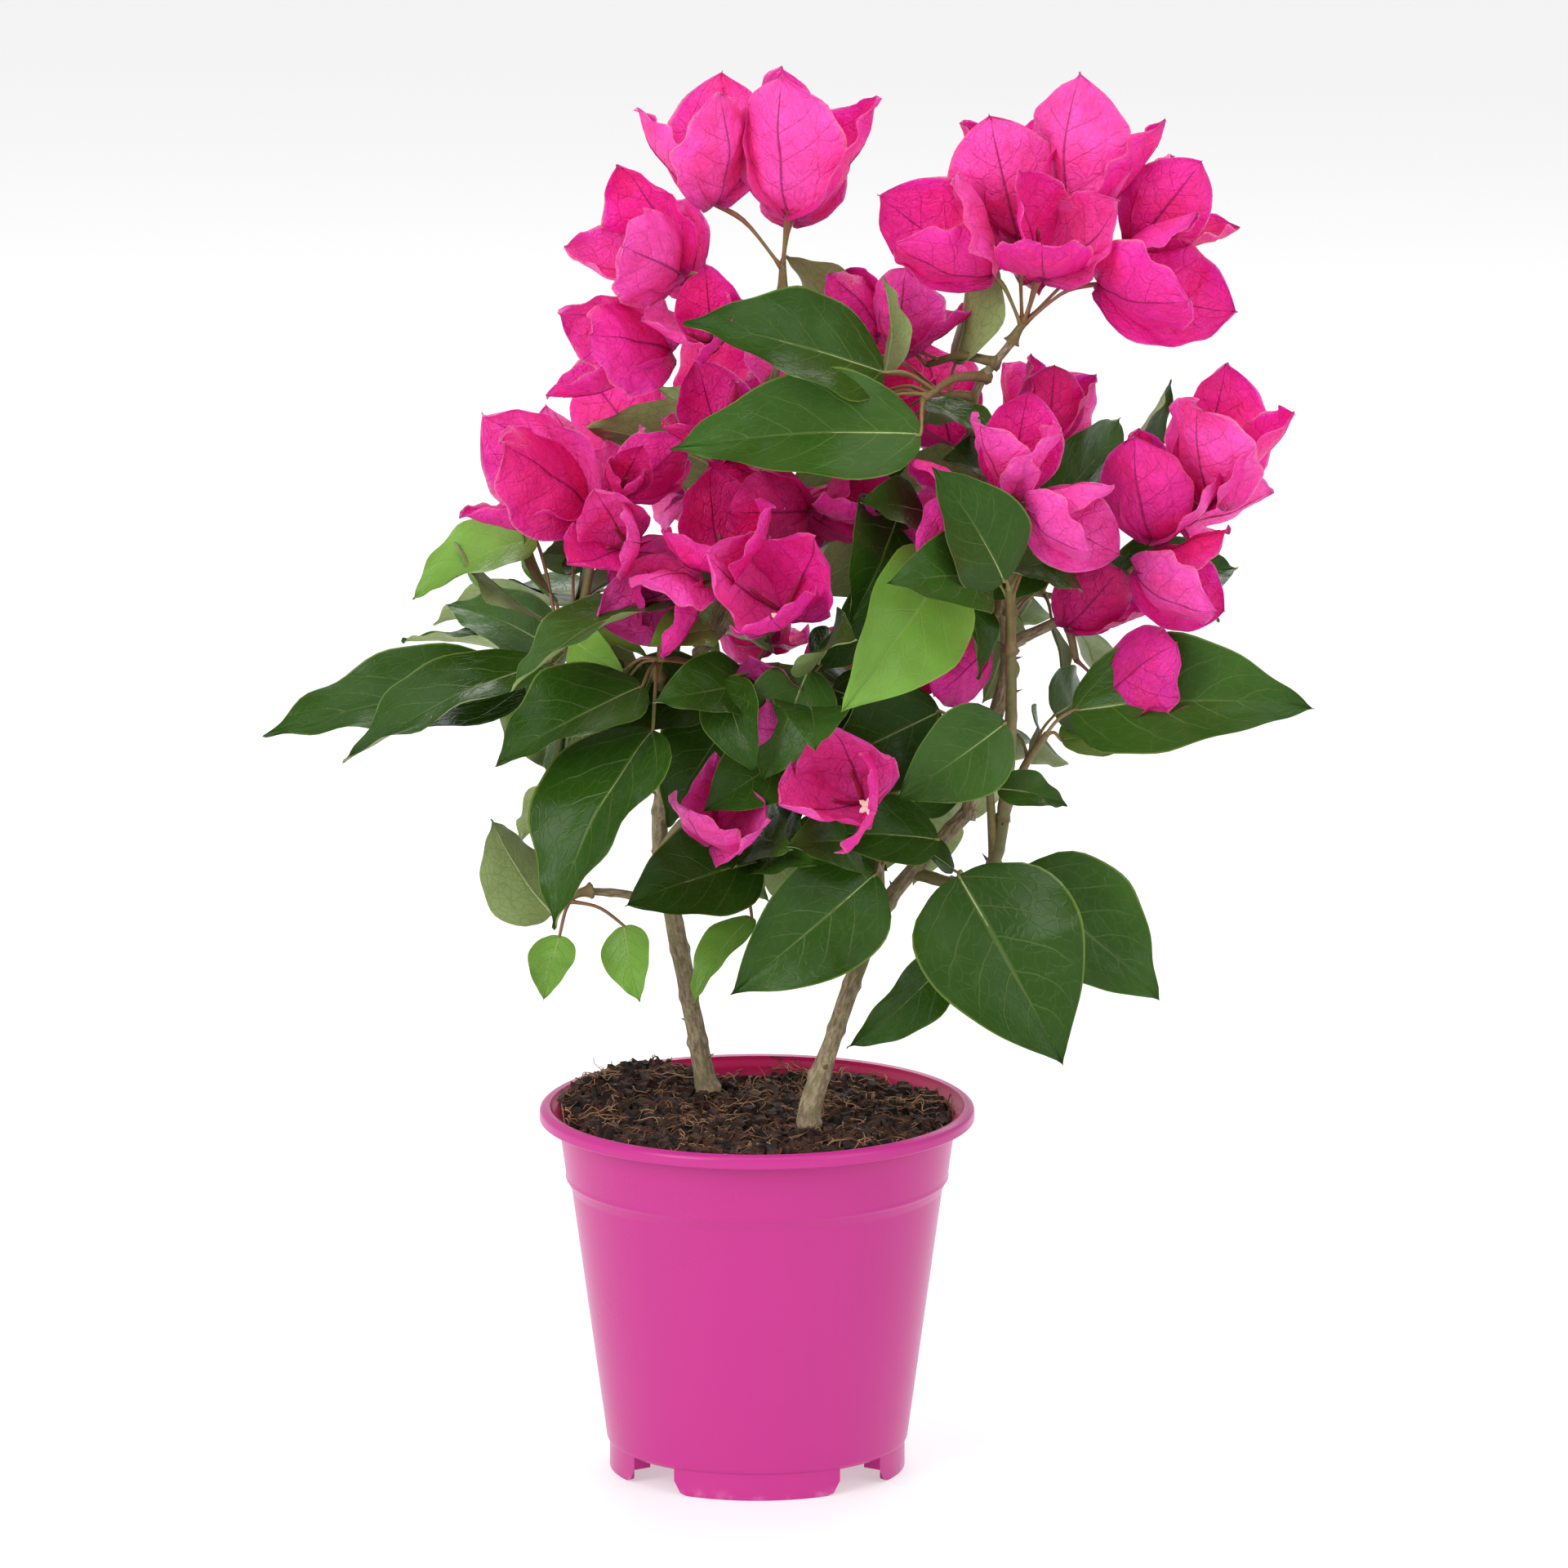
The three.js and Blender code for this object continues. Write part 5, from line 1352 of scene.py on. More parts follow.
def lug_outline(steps):
    """The lug seen from the pot's foot: along its curved wall, with both ends turned inwards."""
    half, radius = LUG["half_angle"] * DEG, LUG["radius"]
    arc = [(radius * math.cos(a), radius * math.sin(a)) for a in np.linspace(-half, half, steps)]
    first, last = np.array(arc[0]), np.array(arc[-1])
    inward = LUG["return"]
    return np.array([first * (1 - inward / radius), *arc, last * (1 - inward / radius)])


def add_lug(skin, turned):
    """One foot: a thin curved wall whose ends turn in, rounded at its lower corners."""
    steps = 25
    line = lug_outline(steps)
    run = np.concatenate([[0], np.cumsum(np.linalg.norm(np.diff(line, axis=0), axis=1))])
    middle = run[-1] / 2
    ahead = np.gradient(line, axis=0)
    ahead /= np.linalg.norm(ahead, axis=1)[:, None]
    out = np.stack([ahead[:, 1], -ahead[:, 0]], -1)
    turn = np.array([[math.cos(turned), math.sin(turned)], [-math.sin(turned), math.cos(turned)]])
    rings = []
    for point, normal, r in zip(line, out, run):
        inset = min(max(middle - abs(r - middle) - LUG["return"], 0), LUG["corner"]) / LUG["corner"]
        low = LUG["corner"] * (1 - math.sqrt(1 - (1 - inset) ** 2)) * 0.85
        outer, inner = point @ turn, (point - normal * LUG["wall"]) @ turn
        rings.append([(*inner, low + 0.4), (*outer, low), (*outer, LUG["top"]), (*inner, LUG["top"])])
    rings = np.array(rings)
    centres = rings.mean(1)
    points = np.concatenate([rings.reshape(-1, 3), centres[:1], centres[-1:]])
    faces = [ring_faces(len(rings), 4), cap_faces(len(rings), 4)]
    skin.add(place(points), np.zeros((1, 2)), faces)


class PLANT_OT_pot(bpy.types.Operator):
    """Make the thin nursery pot with its rolled rim, collar and four feet"""

    bl_idname = "plant.pot"
    bl_label = "Make pot"

    def execute(self, context):
        skin = Skin()
        outer, inner = bent_profile(POT_OUTER), bent_profile(POT_INNER)
        profile = np.concatenate([[[0, 10]], outer, inner, [[0, 13]]])
        lathe(skin, profile, POT_STEPS, len(outer))
        for k in range(4):
            add_lug(skin, math.pi / 2 * k - math.pi / 2)
        pot = skin.to_object("pot_shell", sharp=40)
        outward_normals(pot)
        finish_piece(pot, ["pot"], pot_material())
        return {"FINISHED"}


def outward_normals(obj):
    """Turns every closed shell of a mesh to face outwards."""
    work = bmesh.new()
    work.from_mesh(obj.data)
    bmesh.ops.recalc_face_normals(work, faces=work.faces)
    work.to_mesh(obj.data)
    work.free()


SOIL_RINGS = 84
SOIL_STEPS = 240
WALL_HEIGHTS, WALL_RADII = (138.5, 141, 143.4, 144.6), (75.4, 76.5, 80.1, 81)
WALL_GAP = 0.3
# Swellings and hollows of the peat: height, place (x, y) and how far they spread in x and in y.
MOUND = (7.5, -52, 34, 26, 34)
HOLLOW = (9, -7, 66, 16, 18)
SLOPE = (2.5, 42, 52, 34, 24)
PEAT_LIMIT = 143.6  # the peat stays under this height at the wall
PEAT_RISE = 40  # and may pass it by this much at the middle
COARSE, CLODS, FINE_GRIT = 1.4, 3.4, 1.5  # heights of the peat's unevenness


def swelling(x, y, form):
    """How high a round rise or hollow stands at a place."""
    height, middle_x, middle_y, wide_x, wide_y = form
    return height * math.exp(-((x - middle_x) / wide_x) ** 2 - ((y - middle_y) / wide_y) ** 2)


def soil_height(x, y):
    """Height of the peat: a mound at the left, hollows at the back and the right, and clods."""
    coarse = noise.fractal(Vector((x * 0.03, y * 0.03, 1.3)), 0.7, 2.1, 3)
    clods = noise.fractal(Vector((x * 0.12, y * 0.12, 7.1)), 0.6, 2.2, 2)
    fine = noise.fractal(Vector((x * 0.35, y * 0.35, 3.7)), 0.6, 2.2, 3)
    clump = COARSE * coarse + CLODS * abs(clods) + FINE_GRIT * fine
    near_wall = 1 - math.hypot(x, y) / SOIL_RADIUS
    level = SOIL_TOP + swelling(x, y, MOUND) - swelling(x, y, HOLLOW) - swelling(x, y, SLOPE)
    return min(level + clump, PEAT_LIMIT + PEAT_RISE * max(near_wall, 0))


def soil_point(turn, reach):
    """A point of the peat's top at a share of the way to the wall, which it follows as it rises."""
    x, y = math.cos(turn), math.sin(turn)
    edge = soil_height(x * SOIL_RADIUS, y * SOIL_RADIUS)
    r = reach * (float(np.interp(edge, WALL_HEIGHTS, WALL_RADII)) - WALL_GAP)
    return r * x, r * y, soil_height(r * x, r * y)


SOIL_TOP = (SOIL_BOX[1].z - AXIS_FOOT[2]) / MM
SOIL_RADIUS = (SOIL_BOX[1].x - SOIL_BOX[0].x) / 2 / MM


class PLANT_OT_peat(bpy.types.Operator):
    """Fill the pot with peat, with crumbs and root fibres lying on it"""

    bl_idname = "plant.peat"
    bl_label = "Make peat"

    def execute(self, context):
        sizes = context.scene.plant_sizes
        skin = Skin()
        turn = np.arange(SOIL_STEPS) * 2 * math.pi / SOIL_STEPS
        wall = ((56, 13.4), (69.8, 112), (71.7, 116.5), (74.8, 138))
        rings = [[(r * math.cos(a), r * math.sin(a), z) for a in turn] for r, z in wall]
        rings += [[soil_point(a, reach) for a in turn] for reach in np.linspace(1, 0.01, SOIL_RINGS)]
        rings = np.array(rings)
        ends = np.array([[0, 0, 13.4], soil_point(0, 0)])
        faces = [ring_faces(len(rings), SOIL_STEPS), cap_faces(len(rings), SOIL_STEPS)]
        skin.add(place(np.concatenate([rings.reshape(-1, 3), ends])), np.zeros((1, 2)), faces)
        bed = skin.to_object("peat_bed", sharp=80)
        top_rings = rings[6:-2:3, ::5]
        top = Skin()
        flat = [ring_faces(len(top_rings), top_rings.shape[1])]
        top.add(place(top_rings.reshape(-1, 3)), np.zeros((1, 2)), flat)
        ground = top.to_object("peat_top")
        crumbs = scatter_crumbs(ground, sizes)
        fibres = scatter_fibres(ground, sizes)
        bpy.data.objects.remove(ground)
        finish_piece(bed, ["soil"], peat_material())
        finish_piece(crumbs, [], peat_material())
        finish_piece(fibres, [], fibre_material())
        return {"FINISHED"}


# ---------- Geometry Nodes for what repeats ----------


def add_node(tree, kind, inputs=None, **settings):
    """Adds a node. inputs gives, by socket name or number, a value or the socket to link."""
    made = tree.nodes.new(kind)
    for key, value in settings.items():
        setattr(made, key, value)
    for key, value in (inputs or {}).items():
        if isinstance(value, bpy.types.NodeSocket):
            tree.links.new(value, made.inputs[key])
        else:
            made.inputs[key].default_value = value
    return made


def new_geometry_tree(name, sockets):
    """A tree with a geometry in and out, and named number inputs (name, type, default)."""
    tree = bpy.data.node_groups.new(name, "GeometryNodeTree")
    tree.interface.new_socket("Geometry", in_out="INPUT", socket_type="NodeSocketGeometry")
    for label, kind, default in sockets:
        socket = tree.interface.new_socket(label, in_out="INPUT", socket_type=kind)
        if default is not None:
            socket.default_value = default
    tree.interface.new_socket("Geometry", in_out="OUTPUT", socket_type="NodeSocketGeometry")
    return tree, tree.nodes.new("NodeGroupInput").outputs


def grow_on(obj, name, tree, values):
    """Runs a tree on an object and returns the result as a plain mesh object."""
    carrier = scene_object(name + "_carrier", obj.data.copy())
    modifier = carrier.modifiers.new(name, "NODES")
    modifier.node_group = tree
    for item in tree.interface.items_tree:
        if item.in_out == "INPUT" and item.name in values:
            modifier[item.identifier] = values[item.name]
    bpy.context.view_layer.update()
    evaluated = carrier.evaluated_get(bpy.context.evaluated_depsgraph_get())
    mesh = bpy.data.meshes.new_from_object(evaluated)
    mesh.name = name
    bpy.data.objects.remove(carrier)
    return scene_object(name, mesh)


def vector_maths(tree, operation, inputs, result=0):
    return add_node(tree, "ShaderNodeVectorMath", inputs, operation=operation).outputs[result]


def moved(tree, geometry, offset):
    return add_node(tree, "GeometryNodeSetPosition", {"Geometry": geometry, "Offset": offset}).outputs[0]


def spread_points(tree, given):
    return add_node(tree, "GeometryNodeDistributePointsOnFaces", {
        "Mesh": given["Geometry"], "Density": given["Density"], "Seed": given["Seed"],
    }).outputs["Points"]


def shaken(tree, geometry, scale, detail, middle, reach):
    """The geometry with its points pushed about by a noise, whose middle value leaves them still."""
    wave = add_node(tree, "ShaderNodeTexNoise", {"Scale": scale, "Detail": detail})
    centred = vector_maths(tree, "SUBTRACT", {0: wave.outputs["Color"], 1: middle})
    push = vector_maths(tree, "SCALE", {0: centred, "Scale": reach})
    return moved(tree, geometry, push)


def laid_out(tree, points, shape, rotation, scale):
    """Copies of a shape on points, made real."""
    copies = add_node(tree, "GeometryNodeInstanceOnPoints", {
        "Points": points, "Instance": shape, "Rotation": rotation, "Scale": scale,
    })
    real = add_node(tree, "GeometryNodeRealizeInstances", {"Geometry": copies.outputs["Instances"]})
    return real.outputs["Geometry"]


def paint_and_end(tree, geometry, material):
    """The last steps of a tree: the material, and the way out."""
    painted = add_node(tree, "GeometryNodeSetMaterial", {"Geometry": geometry, "Material": material})
    out = tree.nodes.new("NodeGroupOutput")
    tree.links.new(painted.outputs["Geometry"], out.inputs["Geometry"])


def scatter_crumbs(ground, sizes):
    """Clods of peat on the bed: rough stones of many sizes, bedded at random."""
    tree, given = new_geometry_tree("Crumbs", (
        ("Density", "NodeSocketFloat", 60000.0), ("Size", "NodeSocketFloat", 0.0044),
        ("Seed", "NodeSocketInt", 3), ("Material", "NodeSocketMaterial", None),
    ))
    side = add_node(tree, "ShaderNodeCombineXYZ", {0: given["Size"], 1: given["Size"], 2: given["Size"]})
    clod = add_node(tree, "GeometryNodeMeshCube", {
        "Size": side.outputs[0], "Vertices X": 3, "Vertices Y": 3, "Vertices Z": 3,
    })
    spin = add_node(tree, "FunctionNodeRandomValue", {
        0: (0.0, 0.0, 0.0), 1: (6.28, 6.28, 6.28), "Seed": given["Seed"],
    }, data_type="FLOAT_VECTOR")
    scale = add_node(tree, "FunctionNodeRandomValue", {
        0: (0.15, 0.15, 0.1), 1: (1.4, 0.8, 0.6), "Seed": given["Seed"],
    }, data_type="FLOAT_VECTOR")
    spots = spread_points(tree, given)
    stones = laid_out(tree, spots, clod.outputs["Mesh"], spin.outputs[0], scale.outputs[0])
    rough = shaken(tree, stones, 420.0, 3.0, (0.5, 0.5, 0.5), 0.0034)
    paint_and_end(tree, kept_inside(tree, rough), given["Material"])
    return grow_on(ground, "peat_crumbs", tree, {
        "Density": sizes.crumb_density, "Size": sizes.crumb_size, "Seed": sizes.seed,
        "Material": peat_material(),
    })


def kept_inside(tree, geometry):
    """Draws what leaves the peat's round bed back over it."""
    spot = add_node(tree, "GeometryNodeInputPosition").outputs[0]
    offset = vector_maths(tree, "SUBTRACT", {0: spot, 1: tuple(AXIS_FOOT)})
    flat = vector_maths(tree, "MULTIPLY", {0: offset, 1: (1, 1, 0)})
    reach = vector_maths(tree, "LENGTH", {0: flat}, "Value")
    bed = (SOIL_RADIUS + 1) * MM
    share = maths(tree, "MINIMUM", maths(tree, "DIVIDE", bed, reach), 1.0)
    back = add_node(tree, "ShaderNodeMath", {0: share, 1: 1.0}, operation="SUBTRACT").outputs[0]
    return moved(tree, geometry, vector_maths(tree, "SCALE", {0: flat, "Scale": back}))


def scatter_fibres(ground, sizes):
    """Root fibres: thin curling threads that lie on the peat at random."""
    tree, given = new_geometry_tree("Fibres", (
        ("Density", "NodeSocketFloat", 16000.0), ("Length", "NodeSocketFloat", 0.014),
        ("Girth", "NodeSocketFloat", 0.0002), ("Seed", "NodeSocketInt", 3),
        ("Material", "NodeSocketMaterial", None),
    ))
    thread = add_node(tree, "GeometryNodeCurvePrimitiveLine", {}, mode="DIRECTION")
    thread.inputs["Direction"].default_value = (1, 0, 0)
    tree.links.new(given["Length"], thread.inputs["Length"])
    steps = add_node(tree, "GeometryNodeResampleCurve", {"Curve": thread.outputs["Curve"], "Count": 12})
    spin = add_node(tree, "FunctionNodeRandomValue", {
        0: (-0.25, -0.12, 0.0), 1: (0.25, 0.12, 6.28), "Seed": given["Seed"],
    }, data_type="FLOAT_VECTOR")
    scale = add_node(tree, "FunctionNodeRandomValue", {2: 0.2, 3: 1.2, "Seed": given["Seed"]})
    spots = spread_points(tree, given)
    threads = laid_out(tree, spots, steps.outputs["Curve"], spin.outputs[0], scale.outputs[1])
    curled = shaken(tree, threads, 130.0, 1.5, (0.5, 0.5, 0.36), 0.014)
    girth = add_node(tree, "GeometryNodeCurvePrimitiveCircle", {"Resolution": 4, "Radius": given["Girth"]})
    swept = add_node(tree, "GeometryNodeCurveToMesh", {
        "Curve": kept_inside(tree, curled), "Profile Curve": girth.outputs["Curve"], "Fill Caps": True,
    })
    paint_and_end(tree, swept.outputs["Mesh"], given["Material"])
    return grow_on(ground, "peat_fibres", tree, {
        "Density": sizes.fibre_density, "Length": sizes.fibre_length, "Seed": sizes.seed,
        "Material": fibre_material(),
    })


def scatter_thorns(places, ways, length):
    """Short thorns at given places that point the given ways."""
    mesh = bpy.data.meshes.new("thorn_places")
    mesh.from_pydata(places.tolist(), [], [])
    pointing = mesh.attributes.new("pointing", "FLOAT_VECTOR", "POINT")
    pointing.data.foreach_set("vector", ways.astype(np.float32).ravel())
    carrier = bpy.data.objects.new("thorn_places", mesh)
    tree, given = new_geometry_tree("Thorns", (
        ("Length", "NodeSocketFloat", 0.005), ("Girth", "NodeSocketFloat", 0.0009),
        ("Seed", "NodeSocketInt", 5), ("Material", "NodeSocketMaterial", None),
    ))
    cone = add_node(tree, "GeometryNodeMeshCone", {
        "Vertices": 8, "Side Segments": 4, "Radius Top": 0.00005, "Radius Bottom": given["Girth"],
        "Depth": given["Length"],
    })
    way = add_node(tree, "GeometryNodeInputNamedAttribute", {"Name": "pointing"}, data_type="FLOAT_VECTOR")
    aim = add_node(tree, "FunctionNodeAlignRotationToVector", {"Vector": way.outputs["Attribute"]}, axis="Z")
    scale = add_node(tree, "FunctionNodeRandomValue", {2: 0.55, 3: 1.15, "Seed": given["Seed"]})
    thorns = laid_out(
        tree, given["Geometry"], cone.outputs["Mesh"], aim.outputs["Rotation"], scale.outputs[1],
    )
    paint_and_end(tree, thorns, given["Material"])
    made = grow_on(carrier, "thorns", tree, {"Length": length, "Material": shoot_material()})
    bpy.data.objects.remove(carrier)
    return made


# ---------- Shader groups ----------


def srgb(code):
    """Linear colour of a code written as #rrggbb."""
    parts = [int(code[i:i + 2], 16) / 255 for i in (1, 3, 5)]
    linear = [p / 12.92 if p <= 0.04045 else ((p + 0.055) / 1.055) ** 2.4 for p in parts]
    return (*linear, 1.0)


def maths(tree, operation, *values):
    return add_node(tree, "ShaderNodeMath", dict(enumerate(values)), operation=operation).outputs[0]


def times(tree, first, second):
    return maths(tree, "MULTIPLY", first, second)


def ramp(tree, value, low, high):
    """A smooth rise from 0 at low to 1 at high, or a fall where low is above high."""
    inputs = {"Value": value, "From Min": low, "From Max": high}
    return add_node(tree, "ShaderNodeMapRange", inputs, interpolation_type="SMOOTHSTEP").outputs["Result"]


def mixed(tree, factor, first, second, blend="MIX"):
    """Mixes two colours, which may be sockets."""
    made = add_node(tree, "ShaderNodeMix", {0: factor, 6: first, 7: second}, data_type="RGBA")
    made.blend_type = blend
    return made.outputs[2]


def new_group(name, inputs, outputs):
    """A shader group whose sockets are numbers: inputs with their defaults, and the outputs' names."""
    tree = bpy.data.node_groups.new(name, "ShaderNodeTree")
    for label, default in inputs.items():
        socket = tree.interface.new_socket(label, in_out="INPUT", socket_type="NodeSocketFloat")
        socket.default_value = default
    for label in outputs:
        tree.interface.new_socket(label, in_out="OUTPUT", socket_type="NodeSocketFloat")
    return tree, tree.nodes.new("NodeGroupInput").outputs, tree.nodes.new("NodeGroupOutput").inputs


def shared(name, build):
    """The group of that name, built at its first use."""
    return bpy.data.node_groups.get(name) or build(name)


def placed_group(tree, name, build, inputs):
    return add_node(tree, "ShaderNodeGroup", inputs, node_tree=shared(name, build)).outputs


def build_mottle(name):
    """Broad and fine patches that vary a colour over the whole object."""
    tree, given, out = new_group(name, {"Broad scale": 25.0, "Fine scale": 300.0}, ("Broad", "Fine"))
    spot = add_node(tree, "ShaderNodeTexCoord").outputs["Object"]
    broad = add_node(tree, "ShaderNodeTexNoise", {
        "Vector": spot, "Scale": given["Broad scale"], "Detail": 3.0,
    })
    fine = add_node(tree, "ShaderNodeTexNoise", {"Vector": spot, "Scale": given["Fine scale"], "Detail": 4.0})
    tree.links.new(broad.outputs["Fac"], out["Broad"])
    tree.links.new(fine.outputs["Fac"], out["Fine"])
    return tree


def build_blade_veins(name):
    """Veins on a blade's own UV map: midrib, side veins, the net between them, and the margin."""
    tree, given, out = new_group(
        name,
        {"Side veins": 6.0, "Midrib width": 0.06, "Vein width": 0.1, "Net scale": 16.0},
        ("Veins", "Net", "Margin", "Along", "Side"),
    )
    uv = add_node(tree, "ShaderNodeUVMap", uv_map="UVMap").outputs["UV"]
    wobble = add_node(tree, "ShaderNodeTexNoise", {"Vector": uv, "Scale": 5.0, "Detail": 2.0})
    parts = add_node(tree, "ShaderNodeSeparateXYZ", {0: uv}).outputs
    side = maths(tree, "ABSOLUTE", maths(tree, "MULTIPLY_ADD", parts[0], 2.0, -1.0))
    along_blade = parts[1]
    shift = maths(tree, "MULTIPLY_ADD", wobble.outputs["Fac"], 0.05, -0.025)
    slant = maths(tree, "MULTIPLY_ADD", side, -0.22, shift)
    phase = times(tree, maths(tree, "ADD", along_blade, slant), given["Side veins"])
    near = times(tree, maths(tree, "PINGPONG", phase, 0.5), 2.0)
    # Grows all masses in one space, filling in their organs in place, and returns the space for the finer
    # shoots.
    vein = ramp(tree, near, given["Vein width"], 0.0)
    fading = times(tree, ramp(tree, side, 0.95, 0.5), ramp(tree, along_blade, 0.97, 0.7))
    side_veins = times(tree, vein, fading)
    thin = times(tree, given["Midrib width"], ramp(tree, along_blade, 1.2, 0.2))
    midrib = ramp(tree, side, thin, 0.0)
    bent = vector_maths(tree, "SCALE", {0: wobble.outputs["Color"], "Scale": 0.16})
    bent = vector_maths(tree, "ADD", {0: uv, 1: bent})
    cells = add_node(
        tree, "ShaderNodeTexVoronoi", {"Vector": bent, "Scale": given["Net scale"]},
        feature="DISTANCE_TO_EDGE",
    )
    tree.links.new(maths(tree, "MAXIMUM", midrib, times(tree, side_veins, 0.75)), out["Veins"])
    tree.links.new(ramp(tree, cells.outputs["Distance"], 0.09, 0.0), out["Net"])
    tree.links.new(ramp(tree, side, 0.955, 0.985), out["Margin"])
    tree.links.new(along_blade, out["Along"])
    tree.links.new(side, out["Side"])
    return tree


# ---------- Materials ----------


def new_material(name, **sockets):
    """A material with a Principled shader. sockets are its constant inputs by name."""
    material = bpy.data.materials.new(name)
    material.use_nodes = True
    tree = material.node_tree
    tree.nodes.clear()
    shader = add_node(tree, "ShaderNodeBsdfPrincipled", {k.replace("_", " "): v for k, v in sockets.items()})
    out = tree.nodes.new("ShaderNodeOutputMaterial")
    tree.links.new(shader.outputs[0], out.inputs["Surface"])
    return material, tree, shader


def set_bump(tree, shader, height, distance):
    bump = add_node(tree, "ShaderNodeBump", {"Height": height, "Distance": distance, "Strength": 1.0})
    tree.links.new(bump.outputs["Normal"], shader.inputs["Normal"])


def once(name, build):
    """The material of that name, built at its first use."""
    return bpy.data.materials.get(name) or build(name)


def varied(tree, colour, factor, spread):
    """A colour made that much lighter or darker by a factor round one half."""
    scale = maths(tree, "MULTIPLY_ADD", factor, 2 * spread, 1 - spread)
    grey = add_node(tree, "ShaderNodeCombineColor", {0: scale, 1: scale, 2: scale}).outputs[0]
    return mixed(tree, 1.0, colour, grey, "MULTIPLY")


def leaf_material(tone):
    """A leathery leaf: glossy above with paler veins and a thin yellow edge, dull and pale below."""
    colours = bpy.context.scene.plant_colours
    upper = {"leaves_dark": colours.leaf_dark, "leaves_mid": colours.leaf_mid}.get(tone, colours.leaf_light)

    def build(name):
        material, tree, shader = new_material(name, Specular_IOR_Level=0.17)
        veins = placed_group(tree, "Blade veins", build_blade_veins, {
            "Side veins": float(FINE["leaf"]["side_veins"]), "Midrib width": 0.05,
            "Vein width": 0.09, "Net scale": 15.0,
        })
        patches = placed_group(tree, "Mottle", build_mottle, {"Broad scale": 22.0, "Fine scale": 420.0})
        under = add_node(tree, "ShaderNodeAttribute", attribute_name="under").outputs["Fac"]
        rib = mixed(tree, 0.25, (*upper, 1.0), srgb("#b9c77a"))
        face = varied(tree, (*upper, 1.0), patches["Broad"], 0.55)
        face = mixed(tree, times(tree, veins["Net"], 0.08), face, rib)
        face = mixed(tree, times(tree, veins["Veins"], 0.5), face, rib)
        face = mixed(tree, times(tree, veins["Margin"], 0.32), face, srgb("#93ab4c"))
        below = varied(tree, (*colours.leaf_under, 1.0), patches["Broad"], 0.25)
        below = mixed(tree, times(tree, veins["Veins"], 0.6), below, srgb("#a9b77c"))
        below = mixed(tree, times(tree, veins["Net"], 0.3), below, srgb("#52632f"))
        tree.links.new(mixed(tree, under, face, below), shader.inputs["Base Color"])
        gloss = maths(tree, "MULTIPLY_ADD", patches["Broad"], 0.2, 0.16)
        gloss = maths(tree, "MULTIPLY_ADD", under, 0.22, gloss)
        tree.links.new(gloss, shader.inputs["Roughness"])
        relief = times(tree, patches["Fine"], 0.25)
        relief = maths(tree, "MULTIPLY_ADD", veins["Veins"], -0.8, relief)
        relief = maths(tree, "MULTIPLY_ADD", veins["Net"], -0.25, relief)
        set_bump(tree, shader, relief, 0.00022)
        return material

    return once("mat_" + tone, build)


def bract_material(tone):
    """A papery bract: a soft sheen, redder patches of painted glow from light shining through it, darker
    branching veins, crinkles, and a deeper foot.
    """
    colours = bpy.context.scene.plant_colours
    base = {
        "bracts_pink": colours.bract_pink, "bracts_deep": colours.bract_deep,
    }.get(tone, colours.bract_rose)

    def build(name):
        material, tree, shader = new_material(
            name, Specular_IOR_Level=0.25, Subsurface_Weight=0.35, Subsurface_Scale=0.003,
            Subsurface_Radius=(1.0, 0.12, 0.35),
        )
        veins = placed_group(tree, "Blade veins", build_blade_veins, {
            "Side veins": float(FINE["bract"]["side_veins"]), "Midrib width": 0.04,
            "Vein width": 0.045, "Net scale": 7.0,
        })
        fine_net = placed_group(tree, "Blade veins", build_blade_veins, {"Net scale": 20.0})["Net"]
        patches = placed_group(tree, "Mottle", build_mottle, {"Broad scale": 55.0, "Fine scale": 260.0})
        dark = mixed(tree, 0.7, (*base, 1.0), srgb("#6a0832"))
        # painted glow: redder patches that stand in for light shining through the bract
        painted_glow = times(tree, ramp(tree, patches["Broad"], 0.45, 0.7), 0.55)
        face = mixed(tree, painted_glow, (*base, 1.0), srgb("#ee2a72"))
        face = varied(tree, face, patches["Fine"], 0.2)
        face = mixed(tree, times(tree, veins["Margin"], 0.5), face, srgb("#f2507a"))
        foot = ramp(tree, veins["Along"], 0.22, 0.0)
        face = mixed(tree, times(tree, foot, 0.4), face, dark)
        face = mixed(tree, times(tree, fine_net, 0.1), face, dark)
        face = mixed(tree, times(tree, veins["Net"], 0.16), face, dark)
        face = mixed(tree, times(tree, veins["Veins"], 0.9), face, dark)
        tree.links.new(face, shader.inputs["Base Color"])
        tree.links.new(maths(tree, "MULTIPLY_ADD", patches["Broad"], 0.2, 0.42), shader.inputs["Roughness"])
        relief = times(tree, patches["Fine"], 1.6)
        relief = maths(tree, "MULTIPLY_ADD", veins["Veins"], -0.5, relief)
        relief = maths(tree, "MULTIPLY_ADD", veins["Net"], -0.35, relief)
        relief = maths(tree, "MULTIPLY_ADD", fine_net, -0.2, relief)
        set_bump(tree, shader, relief, 0.0006)
        return material

    return once("mat_" + tone, build)


def plain_variant(name, first, second, scale, roughness, bump, **sockets):
    """A matt finish of two colours in patches, with a fine grain."""

    def build(label):
        material, tree, shader = new_material(label, **sockets)
        patches = placed_group(tree, "Mottle", build_mottle, {"Broad scale": scale, "Fine scale": scale * 9})
        blend = ramp(tree, patches["Broad"], 0.35, 0.65)
        face = varied(tree, mixed(tree, blend, srgb(first), srgb(second)), patches["Fine"], 0.35)
        tree.links.new(face, shader.inputs["Base Color"])
        rough = maths(tree, "MULTIPLY_ADD", patches["Fine"], 0.2, roughness - 0.1)
        tree.links.new(rough, shader.inputs["Roughness"])
        set_bump(tree, shader, patches["Fine"], bump)
        return material

    return once(name, build)


def peat_material():
    return plain_variant("mat_peat", "#130a06", "#513021", 170.0, 0.75, 0.0014)


def fibre_material():
    return plain_variant("mat_fibre", "#54281a", "#b98a62", 70.0, 0.7, 0.0001)


def twig_material():
    return plain_variant("mat_twig", "#6c5f33", "#7d6a45", 60.0, 0.6, 0.0003)


